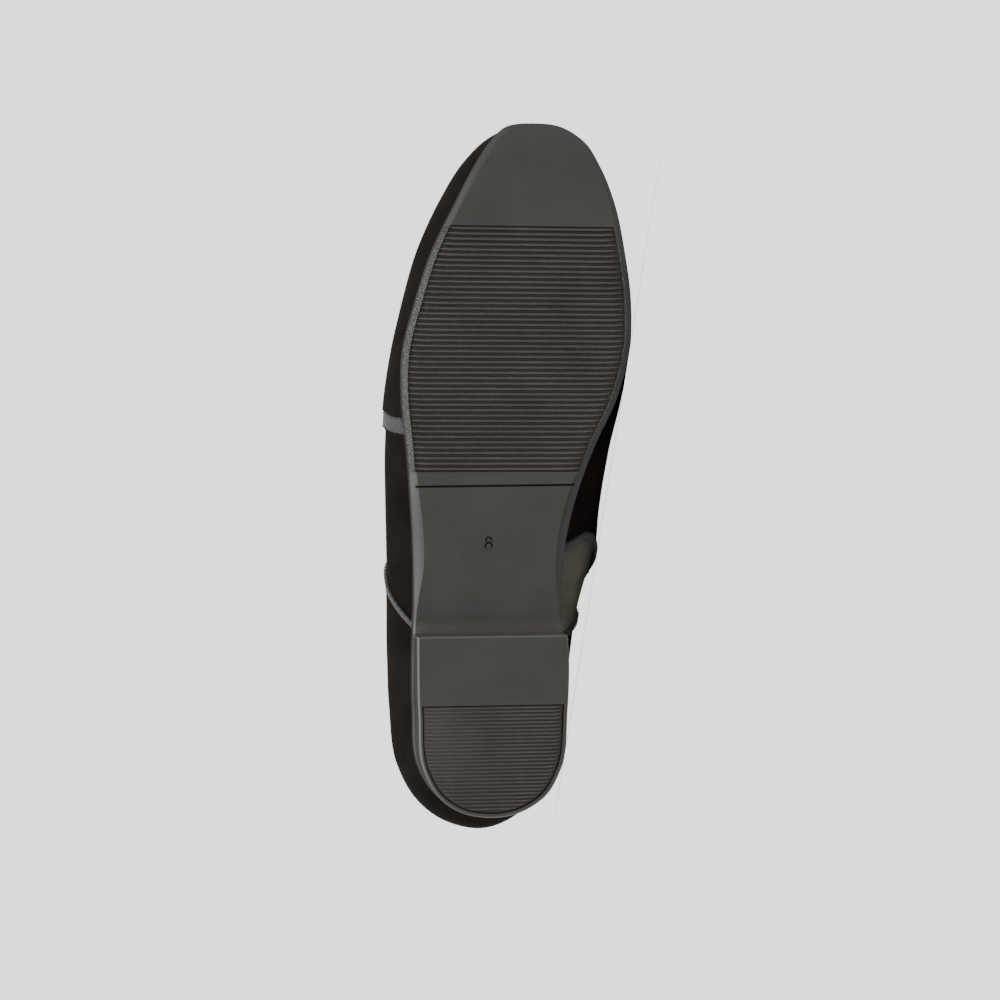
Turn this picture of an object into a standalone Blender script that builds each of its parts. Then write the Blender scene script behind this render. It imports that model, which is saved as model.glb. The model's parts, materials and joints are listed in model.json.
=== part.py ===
"""Velvet slipper loafer, right shoe, lying on its medial side. Metres, +Z up.

The shoe is modelled standing: +X lateral, +Y towards the toe, +Z up, with the sole's flat spots
at Z 0 and the back edge of the heel at Y 0. At the end it is laid on the floor, on its side.
"""

import math

import bmesh
import bpy
import numpy as np
from mathutils import Matrix, Vector

# Sole
SOLE_LENGTH = 0.2625  # back edge of the heel to the toe edge
BALL_WIDTH = 0.0878  # widest place of the sole
SOLE_THICKNESS = 0.0065
HEEL_HEIGHT = 0.0205  # floor to the feather line at the back
HEEL_LENGTH = 0.0690  # back edge to breast
SEAT_LENGTH = 0.0350  # level part of the heel seat
TOE_SPRING = 0.0095
FLAT_START = 0.1380  # the forepart touches the floor from here
FLAT_END = 0.2030  # to here
BEVEL_WIDTH = 0.0050  # a bevel of the lower edge with share 1
BEVEL_HEIGHT = 0.0024  # height of that bevel
HEEL_BEVEL = 0.0010
HEEL_SEAM = 0.0003  # the heel block stands in by this under the sole's edge
HEEL_SINK = 0.0030  # the heel block reaches this far into the sole
LINE_STATION = 0.1253  # engraved line across the front of the waist
LINE_WIDTH = 0.0008
LINE_DEPTH = 0.0008

# Ribbed top piece of the heel
TREAD_LENGTH = 0.0428
TREAD_THICKNESS = 0.0025
TREAD_MARGIN = 0.0016  # rim of the heel block round it

# Insole
INSOLE_THICKNESS = 0.0042
INSOLE_BEVEL = 0.0012

# Upper
UPPER_OVERHANG = 0.0100  # how far the counter stands out past the sole at the back
INSTEP_HEIGHT = 0.0690  # floor to the throat
FEATHER_INSET = 0.0012  # outer face of the upper inside the sole's edge
UPPER_WALL = 0.0030  # vamp with lining, the thickest wall
QUARTER_STEP = 0.0008  # the quarter lies this much below the vamp
PANEL_STEP = 0.0016  # and the side panel this much
GORE_STEP = 0.0019  # floor of the recess that the elastic gore lies in
BULGE_SHARE = 0.36  # share of the wall's rows below its widest line
THROAT = 0.545  # where the crest ends and the topline starts, as a share of the way round

# Trims
GORE_THICKNESS = 0.0009
BAND_WIDTH = 0.0060  # grosgrain band that shows behind the vamp
BAND_THICKNESS = 0.0008
EDGE_WIDTH = 0.0026  # bound edges of the vamp's medial wing and of the quarters
EDGE_THICKNESS = 0.0009
TRIM_END = 0.012  # gore and bindings stop this share of the wall short of its two ends
COLLAR_HEIGHT = 0.0024
COLLAR_LIP = 0.0005  # the collar binding is wider than the wall by this on each side
COLLAR_GAP = 0.0005  # over the wall's rim, whose facets turn sharply at the throat

# Section of the collar binding: out of the wall as shares of half its width, up as shares of its
# height.
COLLAR_SECTION = (
    (0.8, 0), (1, 0.2), (1, 0.6), (0.55, 1),
    (-0.55, 1), (-1, 0.6), (-1, 0.2), (-0.8, 0),
)

# Columns of the faceted solids: round each half of the sole, of the insole and of the heel.
SOLE_PLACES = 44
INSOLE_PLACES = 30
HEEL_COLUMNS = 13
HEEL_SEARCH = 0.001  # step round the edge to where it crosses the heel's front

CLEARANCE = 0.0003
INSOLE_GAP = 0.0004  # more room between the insole and the upper's inner face
WALL_TURN = 0.45  # the wall's lower part turns up at this share of its rise
MIDDLE_ENDS = (0.16, 0.90)  # the middle line lies between these shares of the length
SMALL = 1e-4  # step round the shoe for its slopes, and room for rounding
MERGE_DISTANCE = 2e-6
SHORTEST_EDGE = 1e-7
SHARP_ANGLE = 40

# Typical densities, kg per cubic metre: where the mass lies decides which side rests on the floor.
DENSITY = {"rubber": 1200, "fabric": 300}

# Sole's edge: rows from heel to toe, station as a share of the length, offsets as shares of the
# ball width. At the toe the lateral edge crosses to the medial side of the heel's middle line.
SOLE_ROWS = (
    # station, lateral, medial
    (0.000, 0.000, 0.000),
    (0.008, 0.140, 0.128),
    (0.030, 0.236, 0.230),
    (0.069, 0.304, 0.298),
    (0.152, 0.328, 0.327),
    (0.236, 0.333, 0.333),
    (0.312, 0.332, 0.312),
    (0.381, 0.337, 0.319),
    (0.457, 0.353, 0.362),
    (0.533, 0.371, 0.442),
    (0.602, 0.392, 0.539),
    (0.670, 0.386, 0.595),
    (0.739, 0.333, 0.602),
    (0.815, 0.257, 0.574),
    (0.884, 0.154, 0.534),
    (0.937, 0.068, 0.477),
    (0.975, -0.010, 0.408),
    (0.993, -0.065, 0.330),
    (1.000, -0.200, 0.200),
)

# Bevel of the lower edge, as shares of BEVEL_WIDTH. Along counts from the heel, 0, to the toe, 1.
BEVEL_ROWS = (
    # along, lateral, medial
    (0.00, 0.20, 0.20),
    (0.28, 0.14, 0.14),
    (0.32, 0.26, 0.28),
    (0.37, 0.72, 0.58),
    (0.42, 0.76, 0.74),
    (0.47, 0.60, 0.70),
    (0.53, 0.48, 0.46),
    (0.62, 0.46, 0.48),
    (0.74, 0.43, 0.45),
    (0.86, 0.43, 0.42),
    (0.94, 0.43, 0.40),
    (1.00, 0.42, 0.42),
)

# Widest line of the upper: how far it stands out past the sole's edge, as shares of
# UPPER_OVERHANG, and how high it lies over the feather line, as shares of INSTEP_HEIGHT.
BULGE_ROWS = (
    # along, lateral out, medial out, lateral rise, medial rise
    (0.000, 0.95, 0.95, 0.180, 0.180),
    (0.039, 0.85, 0.72, 0.180, 0.180),
    (0.075, 0.74, 0.46, 0.182, 0.184),
    (0.114, 0.70, 0.34, 0.185, 0.190),
    (0.188, 0.78, 0.54, 0.190, 0.215),
    (0.261, 0.84, 0.78, 0.205, 0.300),
    (0.328, 0.87, 1.42, 0.225, 0.430),
    (0.388, 0.94, 1.90, 0.240, 0.520),
    (0.456, 0.88, 1.64, 0.230, 0.480),
    (0.524, 0.77, 1.14, 0.205, 0.370),
    (0.588, 0.50, 0.60, 0.185, 0.275),
    (0.649, 0.28, 0.35, 0.175, 0.225),
    (0.710, 0.33, 0.31, 0.170, 0.205),
    (0.780, 0.41, 0.29, 0.160, 0.185),
    (0.844, 0.46, 0.17, 0.148, 0.160),
    (0.896, 0.36, 0.03, 0.135, 0.140),
    (0.936, 0.14, -0.09, 0.125, 0.128),
    (0.959, -0.02, -0.13, 0.120, 0.122),
    (1.000, -0.16, -0.16, 0.118, 0.118),
)

# Crest of the vamp, from the throat to the toe: station, offset and height as shares of
# SOLE_LENGTH, BALL_WIDTH and INSTEP_HEIGHT.
CREST_ROWS = (
    # along, station, lateral, height
    (0.545, 0.516, -0.085, 1.000),
    (0.588, 0.566, -0.092, 0.935),
    (0.649, 0.628, -0.102, 0.842),
    (0.710, 0.692, -0.115, 0.748),
    (0.780, 0.760, -0.132, 0.665),
    (0.844, 0.822, -0.150, 0.603),
    (0.896, 0.866, -0.165, 0.562),
    (0.936, 0.892, -0.174, 0.535),
    (1.000, 0.908, -0.180, 0.516),
)

# Topline, from the throat round to the heel, in the same shares.
TOPLINE_ROWS = (
    # along, station, lateral, medial, lateral height, medial height
    (0.000, -0.010, 0.000, 0.000, 0.915, 0.915),
    (0.039, 0.004, 0.118, 0.108, 0.900, 0.900),
    (0.075, 0.032, 0.210, 0.194, 0.880, 0.880),
    (0.114, 0.076, 0.285, 0.262, 0.852, 0.855),
    (0.188, 0.162, 0.350, 0.328, 0.815, 0.830),
    (0.261, 0.238, 0.372, 0.364, 0.798, 0.830),
    (0.328, 0.306, 0.370, 0.418, 0.806, 0.845),
    (0.388, 0.372, 0.345, 0.455, 0.830, 0.868),
    (0.456, 0.444, 0.270, 0.410, 0.885, 0.905),
    (0.500, 0.488, 0.165, 0.310, 0.942, 0.950),
    (0.528, 0.510, 0.040, 0.200, 0.985, 0.988),
    (0.545, 0.516, -0.085, 0.085, 1.000, 1.000),
)

# How full the wall is over its widest line: reach of its side upwards, and reach of its top
# outwards and downwards, as shares of the height and width left to the top.
FULLNESS_ROWS = (
    # along, side, out, down
    (0.00, 0.45, 0.20, 0.40),
    (0.30, 0.45, 0.20, 0.40),
    (0.48, 0.45, 0.35, 0.30),
    (0.56, 0.42, 0.50, 0.06),
    (0.66, 0.44, 0.56, 0.00),
    (0.80, 0.56, 0.62, 0.00),
    (1.00, 0.66, 0.66, 0.00),
)

# Lines across the upper's wall where its panels meet, at the feather, at two heights of the wall
# and at the top, each place as a share of the way round from heel to toe on its own side.
SEAM_LEVELS = (0.0, 0.16, 0.36, 1.0)
SEAM_ROWS = {
    "throat": (0.610, 0.610, 0.610, 0.545),
    "lateral_vamp": (0.562, 0.568, 0.576, 0.505),
    "lateral_quarter": (0.286, 0.312, 0.340, 0.392),
    "medial_vamp": (0.396, 0.420, 0.374, 0.362),
    "medial_quarter": (0.268, 0.280, 0.293, 0.306),
}

# Panels of the upper in order round it: the seams that bound each one, how far its face lies
# below the vamp's, and its columns.
PANELS = (
    # from, to, step, columns
    ("heel", "lateral_quarter", QUARTER_STEP, 9),
    ("lateral_quarter", "lateral_vamp", PANEL_STEP, 7),
    ("lateral_vamp", "lateral_throat", 0.0, 4),
    ("lateral_throat", "toe", 0.0, 12),
    ("toe", "medial_throat", 0.0, 12),
    ("medial_throat", "medial_vamp", 0.0, 10),
    ("medial_vamp", "medial_quarter", GORE_STEP, 4),
    ("medial_quarter", "heel_again", QUARTER_STEP, 9),
)
LOWER_ROWS = 4  # rows of the wall below its widest line
UPPER_ROWS = 8  # and over it


def clear_scene():
    for thing in list(bpy.data.objects):
        bpy.data.objects.remove(thing, do_unlink=True)


def smooth_curve(knots, points, period=None):
    """A curve through points at rising knots; with a period it closes on itself."""
    knots = np.asarray(knots, float)
    points = np.asarray(points, float).reshape(len(knots), -1)
    if period:
        knots = np.concatenate([[knots[-1] - period], knots, [knots[0] + period, knots[1] + period]])
        points = np.concatenate([points[-1:], points, points[:2]])
    steps = np.diff(knots)[:, None]
    slopes = np.diff(points, axis=0) / steps
    inner = (slopes[1:] * steps[:-1] + slopes[:-1] * steps[1:]) / (steps[1:] + steps[:-1])
    tangents = np.concatenate([slopes[:1], inner, slopes[-1:]])
    start = knots[1] if period else knots[0]

    def at(t):
        if period:
            t = start + (t - start) % period
        i = int(np.clip(np.searchsorted(knots, t, side="right") - 1, 0, len(steps) - 1))
        h = steps[i, 0]
        x = min(max((t - knots[i]) / h, 0.0), 1.0)
        return (
            (2 * x**3 - 3 * x**2 + 1) * points[i]
            + (x**3 - 2 * x**2 + x) * h * tangents[i]
            + (3 * x**2 - 2 * x**3) * points[i + 1]
            + (x**3 - x**2) * h * tangents[i + 1]
        )

    return at


def round_values(rows, lateral, medial):
    """One value that runs round the shoe: heel 0, lateral side, toe 1, medial side, heel 2."""
    knots = [row[0] for row in rows]
    values = [row[lateral] for row in rows]
    other = [row[medial] for row in rows]
    knots += [2 - k for k in knots[-2:0:-1]]
    values += other[-2:0:-1]
    curve = smooth_curve(knots, values, period=2.0)
    return lambda t: float(curve(t)[0])


def sole_edge_curve():
    """The sole's edge seen from above, and where each row of its table lies along it."""
    lateral = [(SOLE_LENGTH * s, BALL_WIDTH * a) for s, a, _ in SOLE_ROWS]
    medial = [(SOLE_LENGTH * s, -BALL_WIDTH * b) for s, _, b in SOLE_ROWS]
    chords = [
        (math.dist(lateral[i], lateral[i + 1]) + math.dist(medial[i], medial[i + 1])) / 2
        for i in range(len(SOLE_ROWS) - 1)
    ]
    along = np.concatenate([[0.0], np.cumsum(chords)]) / sum(chords)
    knots = list(along) + [2 - a for a in along[-2:0:-1]]
    points = [(x, y) for y, x in lateral + medial[-2:0:-1]]
    return smooth_curve(knots, points, period=2.0)


edge_curve = sole_edge_curve()
bevel_share = round_values(BEVEL_ROWS, 1, 2)
bulge_out = round_values(BULGE_ROWS, 1, 2)
bulge_rise = round_values(BULGE_ROWS, 3, 4)
crest_curve = smooth_curve([r[0] for r in CREST_ROWS], [r[1:] for r in CREST_ROWS])
topline_curve = smooth_curve(
    [-r[0] for r in TOPLINE_ROWS[::-1]] + [r[0] for r in TOPLINE_ROWS[1:]],
    [(r[1], r[2], r[4]) for r in TOPLINE_ROWS[::-1]]
    + [(r[1], -r[3], r[5]) for r in TOPLINE_ROWS[1:]],
)
fullness_curve = smooth_curve([r[0] for r in FULLNESS_ROWS], [r[1:] for r in FULLNESS_ROWS])
seam_curves = {name: smooth_curve(SEAM_LEVELS, row) for name, row in SEAM_ROWS.items()}


def from_heel(t):
    """Share of the way from heel to toe, on either side."""
    t %= 2.0
    return t if t <= 1.0 else 2.0 - t


def ease(x):
    x = min(max(x, 0.0), 1.0)
    return x * x * (3 - 2 * x)


def feather_height(y):
    """Height of the sole's upper edge: heel seat, waist, level forepart and toe spring."""
    lift = (HEEL_HEIGHT - SOLE_THICKNESS) * ease((FLAT_START - y) / (FLAT_START - SEAT_LENGTH))
    spring = TOE_SPRING * (max(0.0, y - FLAT_END) / (SOLE_LENGTH - FLAT_END)) ** 2
    return SOLE_THICKNESS + lift + spring


def edge_point(t, out=0.0):
    """A point of the sole's edge, moved outwards in plan."""
    x, y = edge_curve(t)
    dx, dy = edge_curve(t + SMALL) - edge_curve(t - SMALL)
    size = math.hypot(dx, dy)
    return Vector((x + out * dy / size, y - out * dx / size))


def top_point(t):
    """The wall's upper end: on the crest before the throat, or on the topline."""
    along = from_heel(t)
    if along >= THROAT:
        station, offset, height = crest_curve(along)
    else:
        side = along if t % 2.0 <= 1.0 else -along
        station, offset, height = topline_curve(-side)
    return Vector((BALL_WIDTH * offset, SOLE_LENGTH * station, INSTEP_HEIGHT * height))


def wall_point(t, level):
    """A point of the vamp's face: t runs round the shoe, level from the feather, 0, to the top, 1."""
    foot = edge_point(t, -FEATHER_INSET)
    foot_z = feather_height(foot.y) + CLEARANCE
    wide = edge_point(t, UPPER_OVERHANG * bulge_out(t))
    wide_z = foot_z + INSTEP_HEIGHT * bulge_rise(t)
    if level <= BULGE_SHARE:
        x = level / BULGE_SHARE
        turn_z = foot_z + WALL_TURN * (wide_z - foot_z)
        a, b, c = (1 - x) ** 2, 2 * x * (1 - x), x * x
        plan = a * foot + (b + c) * wide
        return Vector((plan.x, plan.y, a * foot_z + b * turn_z + c * wide_z))
    x = (level - BULGE_SHARE) / (1 - BULGE_SHARE)
    top = top_point(t)
    side, out, down = fullness_curve(from_heel(t))
    height = top.z - wide_z
    first = Vector((wide.x, wide.y, wide_z))
    second = first + Vector((0, 0, side * height))
    third = top + Vector((out * (wide.x - top.x), out * (wide.y - top.y), -down * height))
    return (
        (1 - x) ** 3 * first
        + 3 * x * (1 - x) ** 2 * second
        + 3 * x * x * (1 - x) * third
        + x**3 * top
    )


def one_side_normal(t, level):
    low, high = max(level - SMALL, 0.0), min(level + SMALL, 1.0 - SMALL)
    across = wall_point(t + SMALL, min(level, 1.0 - SMALL)) - wall_point(
        t - SMALL, min(level, 1.0 - SMALL)
    )
    if level > 1.0 - 2 * SMALL:
        low, high = 1.0 - 3 * SMALL, 1.0 - SMALL
    return across.cross(wall_point(t, high) - wall_point(t, low)).normalized()


def wall_normal(t, level):
    """Outward direction of the vamp's face; on the crest both sides share one."""
    normal = one_side_normal(t, level)
    if level > 1.0 - SMALL and from_heel(t) > THROAT - SMALL:
        normal = (normal + one_side_normal(2.0 - t % 2.0, level)).normalized()
    return normal


def face_point(t, level, depth):
    """A point under the vamp's face by depth, or over it where depth is negative."""
    return wall_point(t, level) - depth * wall_normal(t, level)


def seam(name, level):
    """Place of a seam round the shoe, 0 to 2, at a height of the wall."""
    ends = {"heel": 0.0, "toe": 1.0, "heel_again": 2.0}
    if name in ends:
        return ends[name]
    side, line = name.split("_")
    row = seam_curves["throat" if line == "throat" else name]
    share = float(row(level)[0])
    return share if side == "lateral" else 2.0 - share


def wall_levels():
    lower = [BULGE_SHARE * i / LOWER_ROWS for i in range(LOWER_ROWS)]
    over = [BULGE_SHARE + (1 - BULGE_SHARE) * i / UPPER_ROWS for i in range(UPPER_ROWS + 1)]
    return lower + over


def distance_share(t, level, distance):
    """How far t moves for a distance along the wall."""
    pace = (wall_point(t + SMALL, level) - wall_point(t - SMALL, level)).length / (2 * SMALL)
    return distance / pace


def collection(name, hidden=False):
    made = bpy.data.collections.new(name)
    bpy.context.scene.collection.children.link(made)
    made.hide_render = hidden
    return made


def material(name, colour, roughness):
    made = bpy.data.materials.new(name)
    made.use_nodes = True
    shader = made.node_tree.nodes["Principled BSDF"]
    shader.inputs["Base Color"].default_value = (*colour, 1.0)
    shader.inputs["Roughness"].default_value = roughness
    shader.inputs["Metallic"].default_value = 0.0
    return made


def mesh_object(name, points, faces, where, look=None):
    """An object from points and faces, with its doubles merged and its faces turned outwards."""
    data = bpy.data.meshes.new(name)
    data.from_pydata([tuple(p) for p in points], [], faces)
    shape = bmesh.new()
    shape.from_mesh(data)
    bmesh.ops.remove_doubles(shape, verts=shape.verts, dist=MERGE_DISTANCE)
    bmesh.ops.dissolve_degenerate(shape, edges=shape.edges, dist=SHORTEST_EDGE)
    bmesh.ops.recalc_face_normals(shape, faces=shape.faces)
    shape.to_mesh(data)
    shape.free()
    data.shade_smooth()
    data.set_sharp_from_angle(angle=math.radians(SHARP_ANGLE))
    made = bpy.data.objects.new(name, data)
    if look:
        data.materials.append(look)
    where.objects.link(made)
    return made


def bridge(first, second, closed=True):
    """Quads between two rows of point numbers."""
    count = len(first)
    ends = range(count if closed else count - 1)
    return [
        (first[i], first[(i + 1) % count], second[(i + 1) % count], second[i]) for i in ends
    ]


def strip_solid(name, places, faces_of, where, look):
    """A closed plate: places[row][column] give t and level, faces_of its outer and inner depth."""
    points, outer, inner = [], [], []
    for row in places:
        for depth, kept in zip(faces_of, (outer, inner)):
            kept.append([])
            for t, level in row:
                kept[-1].append(len(points))
                points.append(face_point(t, level, depth))
    faces = []
    for side in (outer, inner):
        for a, b in zip(side[:-1], side[1:]):
            faces += bridge(a, b, closed=False)
    for a, b in ((outer[0], inner[0]), (outer[-1], inner[-1])):
        faces += bridge(a, b, closed=False)
    for column in (0, -1):
        a = [row[column] for row in outer]
        b = [row[column] for row in inner]
        faces += bridge(a, b, closed=False)
    return mesh_object(name, points, faces, where, look)


def ring_places(count):
    """Places round the shoe, evenly from heel to toe on each side."""
    half = [i / count for i in range(count)]
    return half + [1 + share for share in half]


def middle_point(t):
    """The point of the sole's middle line that a place of its edge is joined to."""
    along = from_heel(t)
    lateral, medial = edge_curve(along), edge_curve(2.0 - along)
    middle = (lateral + medial) / 2
    low, high = (share * SOLE_LENGTH for share in MIDDLE_ENDS)
    y = middle[1]
    if y < low:
        y = (y + low) / 2
    if y > high:
        y = (y + high) / 2
    return Vector((middle[0], y))


def ring_solid(name, rings, middles, where, look=None):
    """A closed solid of rings round the shoe, shut below and on top along the middle line."""
    points = [p for ring in rings for p in ring]
    size = len(rings[0])
    rows = [list(range(i * size, (i + 1) * size)) for i in range(len(rings))]
    faces = []
    for a, b in zip(rows[:-1], rows[1:]):
        faces += bridge(a, b)
    for row, line in ((rows[0], middles[0]), (rows[-1], middles[1])):
        start = len(points)
        points += line
        faces += bridge(list(range(start, start + size)), row)
    return mesh_object(name, points, faces, where, look)


def cut(target, cutter, operation="DIFFERENCE"):
    step = target.modifiers.new(cutter.name, "BOOLEAN")
    step.operation = operation
    step.object = cutter
    step.solver = "EXACT"
    cutter.display_type = "WIRE"
    cutter.hide_render = True


def underside(y):
    return feather_height(y) - SOLE_THICKNESS


def sole_body(where, look):
    """Forepart, waist and heel seat, as thick as the sole, with its lower edge bevelled."""
    places = ring_places(SOLE_PLACES)
    rings = []
    for width, low, high in ((1.0, 1.0, 0.0), (0.0, 0.0, 1.0), (0.0, None, None)):
        ring = []
        for t in places:
            bevel = BEVEL_WIDTH * bevel_share(t)
            p = edge_point(t, -width * bevel)
            rise = BEVEL_HEIGHT * bevel_share(t)
            z = feather_height(p.y) if low is None else underside(p.y) + high * rise
            ring.append((p.x, p.y, z))
        rings.append(ring)
    middles = ([], [])
    for t in places:
        p = middle_point(t)
        middles[0].append((p.x, p.y, underside(p.y)))
        middles[1].append((p.x, p.y, feather_height(p.y)))
    return ring_solid("outsole", rings, middles, where, look)


def heel_outline(inset, front):
    """Outline of the heel from its medial front corner, round the back, to the lateral one."""
    search = np.arange(0.0, 1.0, HEEL_SEARCH)
    side = next(t for t in search if edge_point(t, -inset).y > front)
    count = HEEL_COLUMNS
    outline = []
    for i in range(-count, count + 1):
        p = edge_point(side * i / count, -inset)
        outline.append(Vector((p.x, front if abs(i) == count else min(p.y, front))))
    return outline


def heel_prism(name, rings, where):
    """A closed prism from rings of equal count, each an outline and its height at each point."""
    points, faces, rows = [], [], []
    for outline, height_at in rings:
        rows.append(list(range(len(points), len(points) + len(outline))))
        points += [(p.x, p.y, height_at(p.y)) for p in outline]
    for a, b in zip(rows[:-1], rows[1:]):
        faces += bridge(a, b)
    for row in (rows[0], rows[-1]):
        half = len(row) // 2
        faces += bridge(row[: half + 1], row[: half - 1 : -1], closed=False)
    return mesh_object(name, points, faces, where)


def level_at(height):
    return lambda y: height


def make_outsole(where, helpers, look):
    sole = sole_body(where, look)
    block = heel_prism(
        "heel_block",
        (
            (heel_outline(HEEL_SEAM + HEEL_BEVEL, HEEL_LENGTH), level_at(0.0)),
            (heel_outline(HEEL_SEAM, HEEL_LENGTH), level_at(HEEL_BEVEL)),
            (heel_outline(HEEL_SEAM, HEEL_LENGTH), lambda y: underside(y) + HEEL_SINK),
        ),
        helpers,
    )
    cut(sole, block, "UNION")
    pocket = heel_outline(HEEL_SEAM + TREAD_MARGIN, TREAD_LENGTH)
    depths = (level_at(-TREAD_THICKNESS), level_at(TREAD_THICKNESS))
    cut(sole, heel_prism("tread_pocket", [(pocket, depth) for depth in depths], helpers))
    bpy.ops.mesh.primitive_cube_add(size=1.0)
    line = bpy.context.object
    line.name = "waist_line"
    line.scale = (BALL_WIDTH, LINE_WIDTH, 2 * LINE_DEPTH)
    line.location = (0.0, LINE_STATION, underside(LINE_STATION))
    for owner in list(line.users_collection):
        owner.objects.unlink(line)
    helpers.objects.link(line)
    cut(sole, line)
    return sole


def make_heel_tread(where, look):
    inset = HEEL_SEAM + TREAD_MARGIN + CLEARANCE
    outline = heel_outline(inset, TREAD_LENGTH - CLEARANCE)
    depths = (level_at(0.0), level_at(TREAD_THICKNESS - CLEARANCE))
    tread = heel_prism("heel_tread", [(outline, depth) for depth in depths], where)
    tread.data.materials.append(look)
    return tread


def make_insole(where, look):
    """Insock and insole board, inside the upper's wall and on the sole."""
    places = ring_places(INSOLE_PLACES)
    edge = FEATHER_INSET + UPPER_WALL + CLEARANCE + INSOLE_GAP
    rings = []
    for inset, height in (
        (edge, CLEARANCE),
        (edge, CLEARANCE + INSOLE_THICKNESS - INSOLE_BEVEL),
        (edge + INSOLE_BEVEL, CLEARANCE + INSOLE_THICKNESS),
    ):
        ring = []
        for t in places:
            p = edge_point(t, -inset)
            ring.append((p.x, p.y, feather_height(p.y) + height))
        rings.append(ring)
    middles = ([], [])
    for t in places:
        p = middle_point(t)
        z = feather_height(p.y) + CLEARANCE
        middles[0].append((p.x, p.y, z))
        middles[1].append((p.x, p.y, z + INSOLE_THICKNESS))
    return ring_solid("insole", rings, middles, where, look)


def make_upper(where, look):
    """One hollow wall from the feather line to the crest and the topline."""
    levels = wall_levels()
    points, outer, inner = [], [], []
    for start, end, step, count in PANELS:
        for i in range(count + 1):
            out_column, in_column = [], []
            for level in levels:
                a, b = seam(start, level), seam(end, level)
                t = a + (b - a) * i / count
                for depth, column in ((step, out_column), (UPPER_WALL, in_column)):
                    column.append(len(points))
                    points.append(face_point(t, level, depth))
            outer.append(out_column)
            inner.append(in_column)
    faces = []
    count = len(outer)
    for i in range(count):
        after = (i + 1) % count
        faces += bridge(outer[i], outer[after], closed=False)
        faces += bridge(inner[i], inner[after], closed=False)
        faces.append((outer[i][0], outer[after][0], inner[after][0], inner[i][0]))
        if not (on_crest(points[outer[i][-1]]) and on_crest(points[outer[after][-1]])):
            faces.append((outer[i][-1], outer[after][-1], inner[after][-1], inner[i][-1]))
    return mesh_object("upper", points, faces, where, look)


def on_crest(end):
    """Whether a column's upper end lies on the crest, where both sides of the vamp join."""
    return end.y > SOLE_LENGTH * CREST_ROWS[0][1] - SMALL


def seam_strip(name, line, start, width, rows, faces_of, where, look):
    """A ribbon along a seam: it starts beside the seam and runs away from the vamp or quarter."""
    places = []
    for level in rows:
        t = seam(line, level)
        sign = 1 if width > 0 else -1
        first = t + distance_share(t, level, sign * start)
        last = t + distance_share(t, level, width)
        places.append([(first + (last - first) * k / 2, level) for k in range(3)])
    return strip_solid(name, places, faces_of, where, look)


def make_gore(where, look):
    """Elastic gusset in the recess between the vamp's medial wing and the quarter."""
    columns = 4
    places = []
    for level in trim_levels():
        a, b = seam("medial_vamp", level), seam("medial_quarter", level)
        gap = distance_share(a, level, CLEARANCE)
        shares = [a + (b - a) * k / columns for k in range(columns + 1)]
        shares[0] += gap
        shares[-1] -= gap
        places.append([(t, level) for t in shares])
    floor = GORE_STEP - CLEARANCE
    return strip_solid("gore", places, (floor - GORE_THICKNESS, floor), where, look)


def trim_levels():
    """The wall's own rows, a little short of the feather line and of the topline."""
    rows = wall_levels()
    return [TRIM_END] + rows[1:-1] + [1.0 - TRIM_END]


def make_trims(where, look):
    rows = trim_levels()
    over_panel = PANEL_STEP - CLEARANCE
    over_gore = GORE_STEP - 2 * CLEARANCE - GORE_THICKNESS
    return [
        seam_strip("vamp_binding_lateral", "lateral_vamp", CLEARANCE, -BAND_WIDTH, rows,
                   (over_panel - BAND_THICKNESS, over_panel), where, look),
        seam_strip("vamp_binding_medial", "medial_vamp", CLEARANCE, EDGE_WIDTH, rows,
                   (over_gore - EDGE_THICKNESS, over_gore), where, look),
        seam_strip("quarter_binding_lateral", "lateral_quarter", CLEARANCE, EDGE_WIDTH, rows,
                   (over_panel - EDGE_THICKNESS, over_panel), where, look),
        seam_strip("quarter_binding_medial", "medial_quarter", CLEARANCE, -EDGE_WIDTH, rows,
                   (over_gore - EDGE_THICKNESS, over_gore), where, look),
    ]


def topline_places():
    """The places of the upper's own columns that end on the topline, once round from the throat."""
    places = set()
    for start, end, _, count in PANELS:
        a, b = seam(start, 1.0), seam(end, 1.0)
        places |= {round((a + (b - a) * i / count) % 2.0, 6) for i in range(count + 1)}
    kept = [t for t in places if from_heel(t) < THROAT - SMALL]
    return [2.0 - THROAT] + sorted(kept, key=lambda t: (t + THROAT) % 2.0)


def make_collar(where, look):
    """Binding over the wall's upper rim, once round the topline."""
    points, rows = [], []
    for t in topline_places():
        top = top_point(t)
        normal = wall_normal(t, 1.0)
        if from_heel(t) > THROAT - SMALL:
            run = top_point(THROAT - SMALL) - top_point(2.0 - THROAT + SMALL)
            away = normal.cross(-run).normalized()
        else:
            away = normal.cross(top_point(t + SMALL) - top_point(t - SMALL)).normalized()
        middle = top - 0.5 * UPPER_WALL * normal
        rows.append([])
        for out, up in COLLAR_SECTION:
            rows[-1].append(len(points))
            points.append(
                middle
                + out * (0.5 * UPPER_WALL + COLLAR_LIP) * normal
                + (COLLAR_GAP + up * COLLAR_HEIGHT) * away
            )
    faces = []
    for i, row in enumerate(rows):
        faces += bridge(row, rows[(i + 1) % len(rows)])
    return mesh_object("collar_binding", points, faces, where, look)


def solid_mass(made, graph):
    """Mass and centre of a closed mesh, from its evaluated triangles."""
    mesh = made.evaluated_get(graph).to_mesh()
    mesh.calc_loop_triangles()
    points = np.array([v.co for v in mesh.vertices])
    corners = points[np.array([t.vertices for t in mesh.loop_triangles])]
    made.evaluated_get(graph).to_mesh_clear()
    volumes = np.linalg.det(corners) / 6
    centre = (corners.sum(axis=1) / 4 * volumes[:, None]).sum(axis=0) / volumes.sum()
    return abs(volumes.sum()) * DENSITY[made["class"]], centre, points


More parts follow.
